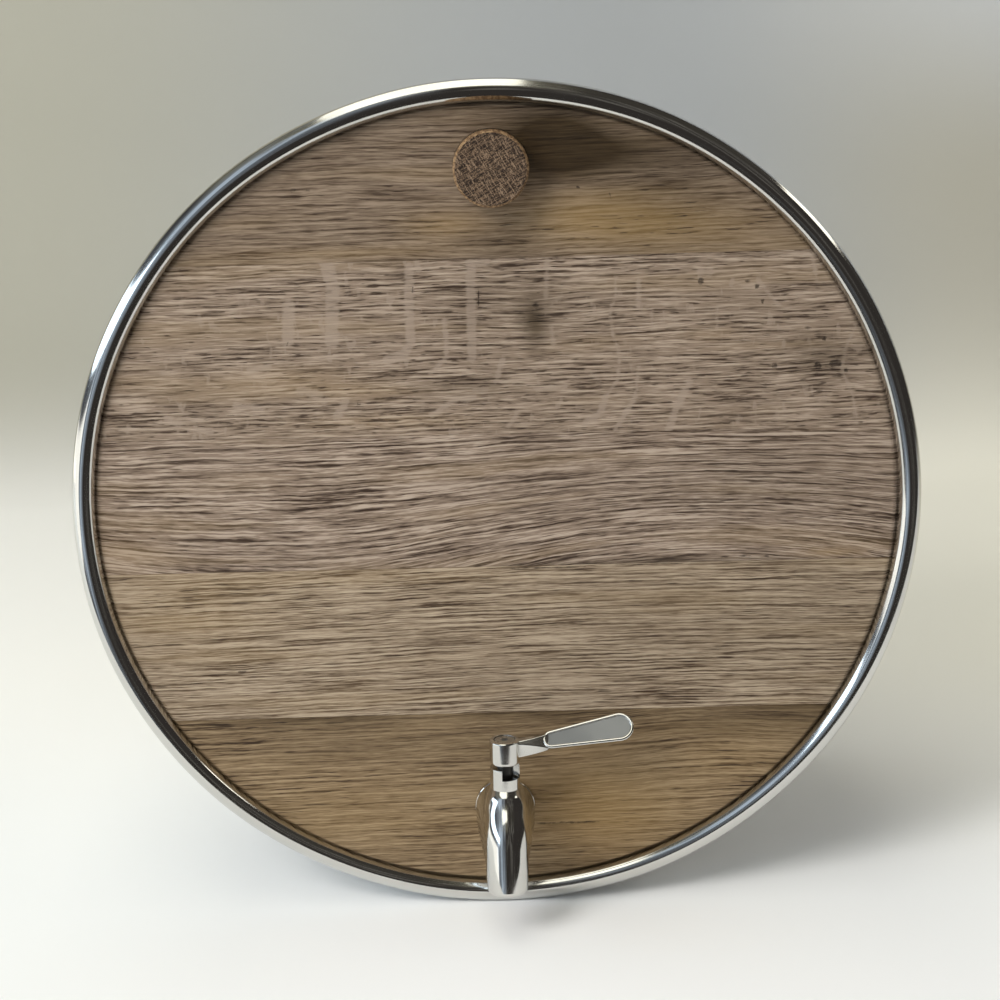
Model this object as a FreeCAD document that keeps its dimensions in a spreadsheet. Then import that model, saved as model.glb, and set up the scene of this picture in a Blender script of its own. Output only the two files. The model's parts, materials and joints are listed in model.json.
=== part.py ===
"""Oak-headed steel cask with a quarter-turn ball-valve tap.

A spun steel vessel lies on its side and ends in a rolled rim. Five bevelled oak boards close it, sealed by
a ring gasket. The head carries a bung above and a cast tap below. The origin is on the table under the middle
of the object's box; +Z is up, the head faces -Y and the tap's lever points along +X when the valve is shut.

Depths are measured back (+) from the plane through the rim bead's centre.
"""

import FreeCAD, Part
import math
import os
import re

import Sketcher
from FreeCAD import Placement, Rotation, Vector

SIZES = [
    # vessel and rim
    ("rim_radius", 190.0, "outside of the rolled rim"),
    ("bead_radius", 5.0, "section of the rolled rim"),
    ("bead_wall", 1.0, "sheet of the rolled rim"),
    ("sheet", 1.2, "vessel wall"),
    ("ledge_width", 6.4, "ledge that carries the gasket"),
    ("wall_draw", 6.6, "how much the wall narrows towards the back"),
    ("back_depth", 187.0, "outside of the back"),
    ("back_fillet", 22.0, "spun corner of the back"),
    ("dish_margin", 28.0, "flat ring between the corner and the pressed-in middle of the back"),
    ("dish_depth", 3.0, "how far the middle of the back is pressed in"),
    # head
    ("head_play", 0.6, "round the oak head in its pocket"),
    ("bevel_play", 0.05, "between the head's front bevel and the rim"),
    ("face_depth", 0.7, "front face of the head"),
    ("head_thick", 20.0, "oak boards"),
    ("back_bevel", 3.0, "bevel on the inner face"),
    ("gasket_thick", 2.5, "silicone ring between head and ledge"),
    ("seam2_left", 36.0, "second joint above the middle, at the left of the rim"),
    ("seam2_right", 34.4, "second joint above the middle, at the right of the rim"),
    ("board2_left", 76.1, "width of the second board, at the left of the rim"),
    ("board2_right", 80.0, "width of the second board, at the right of the rim"),
    ("board3_left", 61.8, "width of the third board, at the left of the rim"),
    ("board3_right", 60.5, "width of the third board, at the right of the rim"),
    ("board4_left", 71.0, "width of the fourth board, at the left of the rim"),
    ("board4_right", 69.9, "width of the fourth board, at the right of the rim"),
    ("dowel_radius", 4.0, "oak dowels between the boards"),
    ("dowel_length", 38.0, "oak dowels between the boards"),
    ("dowel_spacing", 140.0, "between the two dowels of a seam"),
    ("dowel_play", 0.05, "round each dowel"),
    ("dowel_end", 1.0, "left beyond each end of a dowel in its hole"),
    # bung
    ("bung_drop", 37.4, "bung axis below the top of the rim"),
    ("bung_radius", 16.2, "outer end of the bung"),
    ("bung_taper", 1.8, "how much the bung narrows to its inner end"),
    ("bung_proud", 14.0, "stands out of the head"),
    ("bung_cylinder", 10.0, "straight part of the bung"),
    ("bung_tail", 5.0, "reaches behind the head"),
    ("bung_chamfer", 1.2, "edge of the outer end"),
    ("bung_play", 0.05, "round the bung in its hole"),
    # tap casting
    ("tap_side", 0.6, "tap axis to the right of the middle"),
    ("shank_height", 48.5, "shank axis above the table"),
    ("stem_forward", 24.0, "stem axis in front of the bead's centre"),
    ("tap_radius", 9.2, "outlet end of the spout"),
    ("flange_radius", 13.9, "flange against the head"),
    ("flange_thick", 2.8, "flange against the head"),
    ("flange_chamfer", 0.5, "front edge of the flange"),
    ("bell_step", 0.2, "flat ring between the bell and the flange's chamfer"),
    ("bell_mid_depth", 10.0, "middle of the bell behind the stem axis"),
    ("bell_mid_drop", 1.4, "middle of the bell below the shank axis"),
    ("bell_mid_tilt", 16.0, "dip of the bell at its middle"),
    ("bell_mid_radius", 13.3, "bell at its middle"),
    ("bell_low_drop", 5.0, "bell under the stem, below the shank axis"),
    ("bell_low_tilt", 38.0, "dip of the bell under the stem"),
    ("bell_low_radius", 12.2, "bell under the stem"),
    ("bell_tip_reach", 10.0, "end of the bell in front of the stem axis"),
    ("bell_tip_drop", 14.0, "end of the bell below the shank axis"),
    ("bell_tip_tilt", 62.0, "dip of the bell at its end"),
    ("bell_tip_radius", 9.6, "end of the bell, inside the spout"),
    ("shank_radius", 8.0, "shank through the head"),
    ("shank_tail", 13.5, "shank behind the head"),
    ("shank_chamfer", 1.0, "inner end of the shank"),
    ("shank_play", 0.3, "round the shank in the head and washers"),
    ("neck_radius", 6.1, "neck round the stem"),
    ("neck_top", 28.9, "top of the neck above the shank axis"),
    ("crown_height", 16.6, "where the spout leaves the neck, above the shank axis"),
    ("crown_inset", 0.5, "top of the spout inside the neck"),
    ("brow_reach", 3.0, "upper spout in front of the stem axis"),
    ("brow_height", 6.0, "upper spout above the shank axis"),
    ("brow_tilt", 55.0, "dip of the upper spout"),
    ("brow_radius", 8.4, "upper spout"),
    ("knee_reach", 8.5, "middle of the spout in front of the stem axis"),
    ("knee_drop", 4.0, "middle of the spout below the shank axis"),
    ("knee_tilt", 60.0, "dip of the spout at its middle"),
    ("knee_radius", 9.4, "spout at its middle"),
    ("shin_reach", 14.3, "lower spout in front of the stem axis"),
    ("shin_drop", 14.0, "lower spout below the shank axis"),
    ("shin_tilt", 75.0, "dip of the lower spout"),
    ("shin_radius", 9.5, "lower spout"),
    ("spout_reach", 16.5, "outlet axis in front of the stem axis"),
    ("spout_drop", 24.6, "outlet below the shank axis"),
    ("spout_end", 5.5, "straight end of the spout"),
    ("spout_bore", 5.4, "bore at the outlet"),
    ("passage_radius", 4.8, "cored waterway between the valve and the outlet's bore"),
    ("bore_start", 1.0, "waterway in front of the stem axis where it turns down"),
    ("bore_bend", 11.0, "bend of the waterway's centre line"),
    ("bore_low", 16.5, "waterway below the shank axis where it meets the outlet's bore"),
    ("outlet_bore", 9.0, "straight bore at the outlet"),
    ("outlet_round", 1.6, "outer lip of the outlet"),
    ("notch_depth", 4.8, "stop notch in the neck's rim"),
    ("lever_travel", 90.0, "turn from shut to open"),
    ("lug_angle", 22.0, "width of the stop lug"),
    ("stop_play", 1.0, "angle left at each end of the travel"),
    # valve
    ("ball_radius", 6.0, "valve ball"),
    ("port_radius", 3.2, "hole through the ball and the seats"),
    ("chamber_play", 0.3, "round the ball in its bore"),
    ("seat_fit", 0.05, "round the seats and the retainer in that bore"),
    ("seat_back", 1.5, "seat behind the ball"),
    ("seat_length", 3.5, "each seat along the waterway"),
    ("seat_play", 0.05, "between ball and seats"),
    ("retainer_length", 5.0, "threaded ring behind the rear seat"),
    ("retainer_slot", 2.0, "spanner slot"),
    ("stem_radius", 3.5, "valve stem"),
    ("stem_play", 0.05, "stem in its bore"),
    ("collar_radius", 4.4, "collar that holds the stem in"),
    ("collar_thick", 1.5, "collar that holds the stem in"),
    ("collar_play", 0.1, "above and below the collar"),
    ("tang_floor", 0.8, "ball left between the tang's slot and the port"),
    ("tang_width", 2.4, "tang in the ball"),
    ("groove_low", 14.0, "middle of the lower ring groove"),
    ("groove_pitch", 5.0, "between the ring grooves"),
    ("groove_width", 1.6, "ring groove"),
    ("groove_radius", 2.1, "floor of the ring groove"),
    ("square_side", 4.2, "square drive on top of the stem"),
    ("square_drop", 1.6, "top of the square drive below the screw's recess"),
    # lever
    ("hub_radius", 6.4, "hub of the lever"),
    ("hub_gap", 1.5, "between the neck and the hub"),
    ("hub_height", 11.5, "hub of the lever"),
    ("hub_round", 1.7, "lower edge of the hub"),
    ("hub_chamfer", 0.5, "upper edge of the hub"),
    ("recess_play", 0.2, "round the screw head in its recess"),
    ("recess_depth", 2.0, "recess for the screw head"),
    ("lug_lip", 0.2, "stop lug beyond the neck"),
    ("lug_clear", 0.4, "between the stop lug and the stem"),
    ("lug_rise", 0.9, "between the stop lug and the notch's floor"),
    ("lug_root", 3.0, "how far the lug reaches into the hub"),
    ("arm_root_width", 5.6, "arm where it leaves the hub"),
    ("arm_root_height", 7.6, "arm where it leaves the hub"),
    ("arm_root_lift", 5.2, "middle of the arm's root above the underside of the hub"),
    ("arm_root_reach", 4.5, "arm where it leaves the hub"),
    ("paddle_reach", 17.2, "near end of the paddle"),
    ("paddle_lift", 9.8, "near end of the paddle above the underside of the hub"),
    ("paddle_length", 41.6, "paddle"),
    ("paddle_near", 4.2, "half width at the near end"),
    ("paddle_far", 6.6, "half width at the far end"),
    ("paddle_thick", 3.0, "paddle"),
    ("paddle_rise", 9.8, "angle above the level"),
    ("paddle_tilt", 50.0, "roll of the paddle towards the front"),
    ("panel_border", 1.3, "raised border round the panel"),
    ("panel_depth", 0.6, "sunk panel"),
    ("paddle_round", 0.9, "edges of the paddle"),
    # lever screw
    ("screw_head_radius", 4.5, "cap screw head"),
    ("screw_head_height", 1.7, "cap screw head"),
    ("screw_radius", 1.6, "cap screw thread"),
    ("screw_length", 7.0, "cap screw below its head"),
    ("screw_socket", 3.0, "key across flats"),
    ("screw_socket_depth", 1.1, "key socket"),
    # washers and nut
    ("washer_inset", 0.7, "outer washer inside the flange's edge"),
    ("outer_washer_thick", 1.5, "silicone washer under the flange"),
    ("inner_washer_radius", 13.5, "silicone washer inside the head"),
    ("inner_washer_thick", 2.0, "silicone washer inside the head"),
    ("plate_washer_thick", 1.5, "steel washer under the nut"),
    ("nut_flats", 24.0, "lock nut across flats"),
    ("nut_thick", 7.0, "lock nut"),
    ("nut_play", 0.05, "thread of the lock nut"),
    # feet
    ("foot_spacing", 144.0, "between the two rear feet"),
    ("foot_inset", 37.0, "rear feet in front of the outside of the back"),
    ("post_radius", 9.0, "steel post of a foot"),
    ("pad_lip", 3.0, "rubber pad beyond its post"),
    ("pad_height", 6.0, "rubber pad of a foot"),
]

HEX_WIDTH_FACTOR = "2 / sqrt(3)"
# vessel and head, depths from the bead plane
FRONT = "(stem_forward + spout_reach + tap_radius)"
BEAD_Y = f"(({FRONT} - back_depth) / 2)"
BEAD_R = "(rim_radius - bead_radius)"
WALL_R = f"({BEAD_R} - ledge_width)"
BACK_R = f"({WALL_R} - wall_draw)"
DISH_R = f"({BACK_R} - back_fillet - dish_margin)"
HEAD_R = f"({BEAD_R} - sheet - head_play)"
FACE_R = f"({BEAD_R} - sqrt(2) * (bead_radius + bevel_play) + face_depth)"
HEAD_BACK = "(face_depth + head_thick)"
LEDGE = f"({HEAD_BACK} + gasket_thick)"
BUNG_Z = "(2 * rim_radius - bung_drop)"
# tap, depths from the stem axis and heights from the shank axis
STEM_Y = f"({BEAD_Y} - stem_forward)"
FACE = "(stem_forward + face_depth)"
INNER_FACE = f"({FACE} + head_thick)"
PLATE_FACE = f"({INNER_FACE} + inner_washer_thick)"
FLANGE_BACK = f"({FACE} - outer_washer_thick)"
FLANGE_FRONT = f"({FLANGE_BACK} - flange_thick)"
BELL_R = "(flange_radius - flange_chamfer - bell_step)"
SHANK_END = f"({INNER_FACE} + shank_tail)"
CHAMBER_R = "(ball_radius + chamber_play)"
SEAT_R = f"({CHAMBER_R} - seat_fit)"
SEAT_OUTER = "(ball_radius + seat_back)"
SEAT_INNER = f"({SEAT_OUTER} - seat_length)"
COLLAR_LOW = f"({CHAMBER_R} + collar_play)"
COLLAR_HIGH = f"({COLLAR_LOW} + collar_thick)"
SLOT_FLOOR = "(port_radius + tang_floor)"
TANG_LOW = f"({SLOT_FLOOR} + collar_play / 2)"
NOTCH_FLOOR = "(neck_top - notch_depth)"
HUB_LOW = "(neck_top + hub_gap)"
HUB_HIGH = f"({HUB_LOW} + hub_height)"
RECESS_FLOOR = f"({HUB_HIGH} - recess_depth)"
SQUARE_TOP = f"({RECESS_FLOOR} - square_drop)"
SCREW_END = f"({RECESS_FLOOR} - screw_length)"
LUG_LOW = f"({NOTCH_FLOOR} + lug_rise)"
ALONG_Y = Rotation(Vector(1, 0, 0), -90)
ALONG_X = Rotation(Vector(0, 1, 0), 90)

doc = FreeCAD.newDocument("OakCask")
sheet = doc.addObject("Spreadsheet::Sheet", "Sizes")
for row, (alias, value, note) in enumerate(SIZES, start=1):
    sheet.set(f"A{row}", alias)
    sheet.set(f"B{row}", str(value))
    sheet.set(f"C{row}", note)
    sheet.setAlias(f"B{row}", alias)
doc.recompute()

ALIASES = {alias for alias, _, _ in SIZES}
parts = []


def sized(text):
    """The expression with every size name pointing at the spreadsheet."""
    return re.sub(r"[a-z_][a-z_0-9]*", lambda m: f"Sizes.{m[0]}" if m[0] in ALIASES else m[0], text)


def num(text):
    """The present value of an expression of sizes."""
    value = sheet.evalExpression(sized(text))
    return float(getattr(value, "Value", value))


def bind(obj, **expressions):
    """Binds the object's properties to expressions of sizes."""
    for prop, text in expressions.items():
        obj.setExpression(prop, sized(text))
    return obj


def put(obj, along_x="0", along_y="0", along_z="0", turn=Rotation()):
    """Places an object; its position stays bound to the sheet."""
    obj.Placement = Placement(Vector(), turn)
    for axis, text in zip("xyz", (along_x, along_y, along_z)):
        obj.setExpression(f"Placement.Base.{axis}", sized(text))
    return obj


def put_tap(obj):
    """Moves an object from the tap's frame (stem axis on shank axis) to its place."""
    return put(obj, "tap_side", STEM_Y, "shank_height")


def part(obj, label):
    """Marks an object as a sub-part under its own name."""
    obj.Label = label
    parts.append(obj)
    return obj


def primitive(kind, name, **expressions):
    return bind(doc.addObject(f"Part::{kind}", name), **expressions)


def cylinder(name, radius, height, **extra):
    return primitive("Cylinder", name, Radius=radius, Height=height, **extra)


def cut(name, base, tool):
    obj = doc.addObject("Part::Cut", name)
    obj.Base = base
    obj.Tool = tool
    return obj


def gather(name, members, kind="Part::Compound"):
    """Several objects as one: a compound of separate solids, or a fusion."""
    obj = doc.addObject(kind, name)
    if kind == "Part::Compound":
        obj.Links = members
    else:
        obj.Shapes = members
        obj.Refine = True
    return obj


def tube(name, outer, inner, height, turn=Rotation(), base=("0", "0", "0")):
    """A round ring: a cylinder less a longer one."""
    body = put(cylinder(f"{name}_outer", outer, height), *base, turn=turn)
    hole = put(cylinder(f"{name}_hole", inner, height), *base, turn=turn)
    return cut(name, body, hole)


def new_body(name):
    return doc.addObject("PartDesign::Body", name)


def new_sketch(body, name, plane, offset=None, axis=Vector(0, 0, 1)):
    sketch = body.newObject("Sketcher::SketchObject", name)
    support = next(o for o in body.Origin.OriginFeatures if o.Role == plane)
    sketch.AttachmentSupport = [(support, "")]
    sketch.MapMode = "FlatFace"
    if offset:
        along, up, out, angle = offset
        sketch.AttachmentOffset = Placement(Vector(), Rotation(axis, num(angle)))
        for axis, text in zip("xyz", (along, up, out)):
            sketch.setExpression(f"AttachmentOffset.Base.{axis}", sized(text))
        sketch.setExpression("AttachmentOffset.Rotation.Angle", sized(angle))
    return sketch


def dimension(sketch, kind, where, text):
    """A sketch dimension bound to an expression."""
    index = sketch.addConstraint(Sketcher.Constraint(kind, *where, num(text)))
    sketch.setExpression(f"Constraints[{index}]", sized(text))


def outline(sketch, corners):
    """A closed polygon with every corner bound to the sheet."""
    points = [Vector(num(u), num(v), 0) for u, v in corners]
    ends = points[1:] + points[:1]
    first = sketch.GeometryCount
    for start, end in zip(points, ends):
        sketch.addGeometry(Part.LineSegment(start, end))
    for i, (u, v) in enumerate(corners):
        after = first + (i + 1) % len(corners)
        sketch.addConstraint(Sketcher.Constraint("Coincident", first + i, 2, after, 1))
        dimension(sketch, "DistanceX", (-1, 1, first + i, 1), u)
        dimension(sketch, "DistanceY", (-1, 1, first + i, 1), v)
    return sketch


def box_outline(sketch, width, height):
    """A rectangle about the sketch's origin."""
    half, rise = f"({width}) / 2", f"({height}) / 2"
    corners = [(f"-{half}", f"-{rise}"), (half, f"-{rise}"), (half, rise), (f"-{half}", rise)]
    return outline(sketch, corners)


def disc(sketch, radius):
    """A circle about the sketch's origin."""
    index = sketch.addGeometry(Part.Circle(Vector(), Vector(0, 0, 1), num(radius)))
    sketch.addConstraint(Sketcher.Constraint("Coincident", index, 3, -1, 1))
    dimension(sketch, "Radius", (index,), radius)
    return sketch


def spin(body, name, plane, corners, kind="Revolution", offset=None):
    """A polygon of (radius, height) turned about the sketch's upright axis."""
    sketch = outline(new_sketch(body, f"{name}_outline", plane, offset), corners)
    feature = body.newObject(f"PartDesign::{kind}", name)
    feature.Profile = sketch
    feature.ReferenceAxis = (sketch, ["V_Axis"])
    feature.Angle = 360
    doc.recompute()
    return feature


def checked(feature, before, sign):
    """Stops if a feature that should add (+1) or remove (-1) material did neither."""
    doc.recompute()
    if (feature.Shape.Volume - before) * sign <= 0:
        raise ValueError(f"{feature.Name} changed the volume from {before} to {feature.Shape.Volume}")
    return feature


def ring_edges(shape, radius, height, axis):
    """Names of the circular edges of this radius at this height along axis."""
    names = []
    for i, edge in enumerate(shape.Edges, start=1):
        curve = edge.Curve
        if isinstance(curve, Part.Circle) and abs(curve.Radius - radius) < 1e-3:
            if abs(curve.Center.dot(axis) - height) < 1e-3:
                names.append(f"Edge{i}")
    return names


def soften(body, name, radius, rings, axis, kind="Fillet"):
    """Rounds or bevels circular edges given as (radius, height) pairs."""
    base = body.Tip
    edges = [e for r, z in rings for e in ring_edges(base.Shape, num(r), num(z), axis)]
    if not edges:
        raise ValueError(f"{name} finds no edge")
    feature = body.newObject(f"PartDesign::{kind}", name)
    feature.Base = (base, edges)
    bind(feature, **{"Radius" if kind == "Fillet" else "Size": radius})
    doc.recompute()
    return feature


def make_vessel():
    """The spun pot: pocket for the head, ledge, tapered wall, rounded and dished back."""
    body = new_body("Vessel")
    ledge_back = f"{LEDGE} + sheet"
    dish = f"{DISH_R} - dish_depth"
    spin(body, "Pot", "XY_Plane", [
        ("0", "0"), (BEAD_R, "0"), (BEAD_R, ledge_back), (WALL_R, ledge_back),
        (BACK_R, "back_depth"), (DISH_R, "back_depth"),
        (dish, "back_depth - dish_depth"), ("0", "back_depth - dish_depth"),
    ])
    solid = body.Tip.Shape.Volume
    floor = "(back_depth - sheet)"
    groove = spin(body, "Inside", "XY_Plane", [
        ("0", "-sheet"), (f"{BEAD_R} - sheet", "-sheet"), (f"{BEAD_R} - sheet", LEDGE),
        (f"{WALL_R} - sheet", LEDGE), (f"{BACK_R} - sheet", floor),
        (DISH_R, floor), (dish, f"{floor} - dish_depth"), ("0", f"{floor} - dish_depth"),
    ], "Groove")
    checked(groove, solid, -1)
    along = Vector(0, 1, 0)
    soften(body, "InnerCorner", "back_fillet - sheet", [(f"{BACK_R} - sheet", floor)], along)
    soften(body, "OuterCorner", "back_fillet", [(BACK_R, "back_depth")], along)
    put(body, "0", BEAD_Y, "rim_radius")
    return part(body, "vessel_shell")


def make_rim():
    """The rolled bead: a hollow ring with a slot that grips the vessel's front edge."""
    rolls = []
    for name, section in (("RollOutside", "bead_radius"), ("RollInside", "bead_radius - bead_wall")):
        torus = primitive("Torus", name, Radius1=BEAD_R, Radius2=section)
        rolls.append(put(torus, turn=ALONG_Y))
    slot = tube("Slot", BEAD_R, f"{BEAD_R} - sheet", "2 * bead_radius", ALONG_Y)
    ring = cut("Rim", cut("Roll", *rolls), slot)
    put(ring, "0", BEAD_Y, "rim_radius")
    return part(ring, "rim_ring")


def make_gasket():
    """The flat silicone ring between the head and the ledge."""
    ring = tube("Gasket", f"{HEAD_R} - back_bevel / 2", f"{WALL_R} - sheet", "gasket_thick", ALONG_Y)
    put(ring, "0", f"{BEAD_Y} + {HEAD_BACK}", "rim_radius")
    return part(ring, "head_gasket")


def seam_height(number, end):
    """Height of a joint at the left or right of the rim: 1 to 4 between the boards, 0 above, 5 below."""
    second = f"rim_radius + seam2_{end}"
    third = f"{second} - board3_{end}"
    heights = ("2 * rim_radius", f"{second} + board2_{end}", second, third, f"{third} - board4_{end}", "0")
    return heights[number]


def dowel_row(name, radius, length):
    """Two upright rods across each of the four seams."""
    rods = []
    middle = f"{BEAD_Y} + face_depth + head_thick / 2"
    for seam in range(1, 5):
        height = f"({seam_height(seam, 'left')} + {seam_height(seam, 'right')} - ({length})) / 2"
        for side, sign in (("Left", "-"), ("Right", "")):
            rod = cylinder(f"{name}{seam}{side}", radius, length)
            rods.append(put(rod, f"{sign}dowel_spacing / 2", middle, height))
    return gather(name, rods)


def make_head():
    """Five oak boards: one bevelled disc divided at the seams, bored for dowels, bung and tap."""
    blank = new_body("HeadBlank")
    spin(blank, "HeadDisc", "XY_Plane", [
        ("0", "face_depth"), (FACE_R, "face_depth"), (HEAD_R, f"face_depth + {HEAD_R} - {FACE_R}"),
        (HEAD_R, f"{HEAD_BACK} - back_bevel"), (f"{HEAD_R} - back_bevel", HEAD_BACK), ("0", HEAD_BACK),
    ])
    put(blank, "0", BEAD_Y, "rim_radius")
    holes = dowel_row("DowelHoles", "dowel_radius + dowel_play", "dowel_length + 2 * dowel_end")
    bung_hole = bung_blank("BungHole", "bung_play")
    tap_hole = cylinder("TapHole", "shank_radius + shank_play", "3 * head_thick")
    put(tap_hole, "tap_side", f"{BEAD_Y} - head_thick", "shank_height", turn=ALONG_Y)
    tools = {1: [holes, bung_hole], 5: [holes, tap_hole]}
    for number in range(1, 6):
        slab = primitive(
            "Wedge", f"Slab{number}", Xmin="0", X2min="0", Xmax="2 * head_thick", X2max="2 * head_thick",
            Ymin="0", Ymax="2 * rim_radius",
            Zmin=seam_height(number, "left"), Z2min=seam_height(number, "right"),
            Zmax=seam_height(number - 1, "left"), Z2max=seam_height(number - 1, "right"),
        )
        put(slab, "-rim_radius", f"{BEAD_Y} + 1.5 * head_thick", "0", turn=Rotation(Vector(0, 0, 1), -90))
        board = doc.addObject("Part::Common", f"BoardBlank{number}")
        board.Base = blank
        board.Tool = slab
        for tool in tools.get(number, [holes]):
            board = cut(f"Board{number}{tool.Name}", board, tool)
        part(board, f"head_board_{number}")
    part(dowel_row("Dowels", "dowel_radius", "dowel_length"), "head_dowels")


def bung_blank(name, play):
    """A tapered plug about the bung axis, grown by play all round."""
    body = new_body(name)
    shoulder = "face_depth - bung_proud + bung_cylinder"
    tail = f"{HEAD_BACK} + bung_tail"
    front = "face_depth - bung_proud"
    tip = f"bung_radius - bung_taper + {play}"
    spin(body, f"{name}Turned", "XY_Plane", [
        ("0", front), (f"bung_radius - bung_chamfer + {play}", front),
        (f"bung_radius + {play}", f"{front} + bung_chamfer"), (f"bung_radius + {play}", shoulder),
        (tip, tail), ("0", tail),
    ])
    return put(body, "0", BEAD_Y, BUNG_Z)


def make_bung():
    return part(bung_blank("Bung", "0"), "bung")


def swelling(body, name, sections):
    """A smooth loft through circles given as (reach, height, dip, radius) in the tap's middle plane."""
    rings = []
    for i, (reach, height, dip, radius) in enumerate(sections, start=1):
        ring = new_sketch(body, f"{name}_ring{i}", "XZ_Plane", ("0", height, reach, dip), Vector(1, 0, 0))
        rings.append(disc(ring, radius))
    doc.recompute()
    loft = body.newObject("PartDesign::AdditiveLoft", name)
    loft.Profile = rings[0]
    loft.Sections = rings[1:]
    doc.recompute()
    return loft


def bore_path(body, name):
    """The waterway's centre line: level out of the valve, round a bend, then sloping to the outlet's bore."""
    sketch = new_sketch(body, name, "YZ_Plane")
    run, bend = num("bore_start"), num("bore_bend")
    centre = Vector(-run, -bend, 0)
    end = Vector(-num("spout_reach"), -num("bore_low"), 0)
    away = end - centre
    turn = math.atan2(away.y, away.x) % (2 * math.pi) - math.acos(bend / away.Length)
    arc = Part.ArcOfCircle(Part.Circle(centre, Vector(0, 0, 1), bend), math.pi / 2, turn)
    sketch.addGeometry(Part.LineSegment(Vector(), Vector(-run, 0, 0)))
    sketch.addGeometry(arc)
    sketch.addGeometry(Part.LineSegment(arc.EndPoint, end))
    for rule in (
        ("Coincident", 0, 1, -1, 1), ("Coincident", 0, 2, 1, 1), ("Tangent", 1, 2, 2, 1),
        ("Vertical", 1, 3, 1, 1),
    ):
        sketch.addConstraint(Sketcher.Constraint(*rule))
    dimension(sketch, "DistanceX", (-1, 1, 1, 3), "-bore_start")
    dimension(sketch, "DistanceY", (-1, 1, 1, 3), "-bore_bend")
    dimension(sketch, "Radius", (1,), "bore_bend")
    dimension(sketch, "DistanceX", (-1, 1, 2, 2), "-spout_reach")
    dimension(sketch, "DistanceY", (-1, 1, 2, 2), "-bore_low")
    return sketch


def make_tap_body():
    """The cast tap: shank, flange, swelling bell, neck with its stop notch, and drooping spout."""
    body = new_body("TapCasting")
    spin(body, "Shank", "XY_Plane", [
        ("0", "0"), (CHAMBER_R, "0"), (CHAMBER_R, FLANGE_FRONT), ("flange_radius - flange_chamfer", FLANGE_FRONT),
        ("flange_radius", f"{FLANGE_FRONT} + flange_chamfer"), ("flange_radius", FLANGE_BACK),
        ("shank_radius", FLANGE_BACK), ("shank_radius", f"{SHANK_END} - shank_chamfer"),
        ("shank_radius - shank_chamfer", SHANK_END), ("0", SHANK_END),
    ])
    before = body.Tip.Shape.Volume
    checked(swelling(body, "Bell", [
        (f"-{FLANGE_FRONT}", "0", "0", BELL_R),
        ("-bell_mid_depth", "-bell_mid_drop", "bell_mid_tilt", "bell_mid_radius"),
        ("0", "-bell_low_drop", "bell_low_tilt", "bell_low_radius"),
        ("bell_tip_reach", "-bell_tip_drop", "bell_tip_tilt", "bell_tip_radius"),
    ]), before, 1)
    before = body.Tip.Shape.Volume
    checked(swelling(body, "Spout", [
        ("0", "crown_height", "90", "neck_radius - crown_inset"),
        ("brow_reach", "brow_height", "brow_tilt", "brow_radius"),
        ("knee_reach", "-knee_drop", "knee_tilt", "knee_radius"),
        ("shin_reach", "-shin_drop", "shin_tilt", "shin_radius"),
        ("spout_reach", "-spout_drop + spout_end", "90", "tap_radius"),
    ]), before, 1)
    outlet = ("0", "0", "spout_reach", "0")
    before = body.Tip.Shape.Volume
    checked(spin(body, "SpoutEnd", "XZ_Plane", [
        ("0", "-spout_drop"), ("tap_radius", "-spout_drop"), ("tap_radius", "-spout_drop + spout_end"),
        ("0", "-spout_drop + spout_end"),
    ], offset=outlet), before, 1)
    before = body.Tip.Shape.Volume
    checked(spin(body, "Neck", "XZ_Plane", [
        ("0", "0"), ("neck_radius", "0"), ("neck_radius", "neck_top"), ("0", "neck_top"),
    ]), before, 1)
    before = body.Tip.Shape.Volume
    waterway = body.newObject("PartDesign::SubtractivePipe", "Waterway")
    waterway.Profile = disc(new_sketch(body, "Waterway_section", "XZ_Plane"), "passage_radius")
    path = bore_path(body, "Waterway_path")
    doc.recompute()
    waterway.Spine = (path, [f"Edge{i}" for i in range(1, 4)])
    checked(waterway, before, -1)
    before = body.Tip.Shape.Volume
    checked(spin(body, "OutletBore", "XZ_Plane", [
        ("0", "-spout_drop - outlet_round"), ("spout_bore", "-spout_drop - outlet_round"),
        ("spout_bore", "-spout_drop + outlet_bore"), ("0", "-spout_drop + outlet_bore"),
    ], "Groove", outlet), before, -1)
    before = body.Tip.Shape.Volume
    chamber = spin(body, "Chamber", "XY_Plane", [
        ("0", f"-{SEAT_OUTER}"), (CHAMBER_R, f"-{SEAT_OUTER}"),
        (CHAMBER_R, f"{SHANK_END} + shank_chamfer"), ("0", f"{SHANK_END} + shank_chamfer"),
    ], "Groove")
    checked(chamber, before, -1)
    before = body.Tip.Shape.Volume
    top_of_collar = f"{COLLAR_HIGH} + collar_play"
    stem_bore = spin(body, "StemBore", "XZ_Plane", [
        ("0", "0"), ("collar_radius + stem_play", "0"), ("collar_radius + stem_play", top_of_collar),
        ("stem_radius + stem_play", top_of_collar), ("stem_radius + stem_play", HUB_LOW),
        ("0", HUB_LOW),
    ], "Groove")
    checked(stem_bore, before, -1)
    lips = [("tap_radius", "-spout_drop")]
    soften(body, "Lip", "outlet_round", lips, Vector(0, 0, 1))
    sweep = "lever_travel + lug_angle + 2 * stop_play"
    notch = cylinder("Notch", "2 * neck_radius", "2 * notch_depth", Angle=sweep)
    put(notch, along_z=NOTCH_FLOOR)
    notch.setExpression("Placement.Rotation.Angle", sized("-90 - lug_angle / 2 - stop_play"))
    return part(put_tap(cut("Tap", body, notch)), "tap_body")


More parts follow.
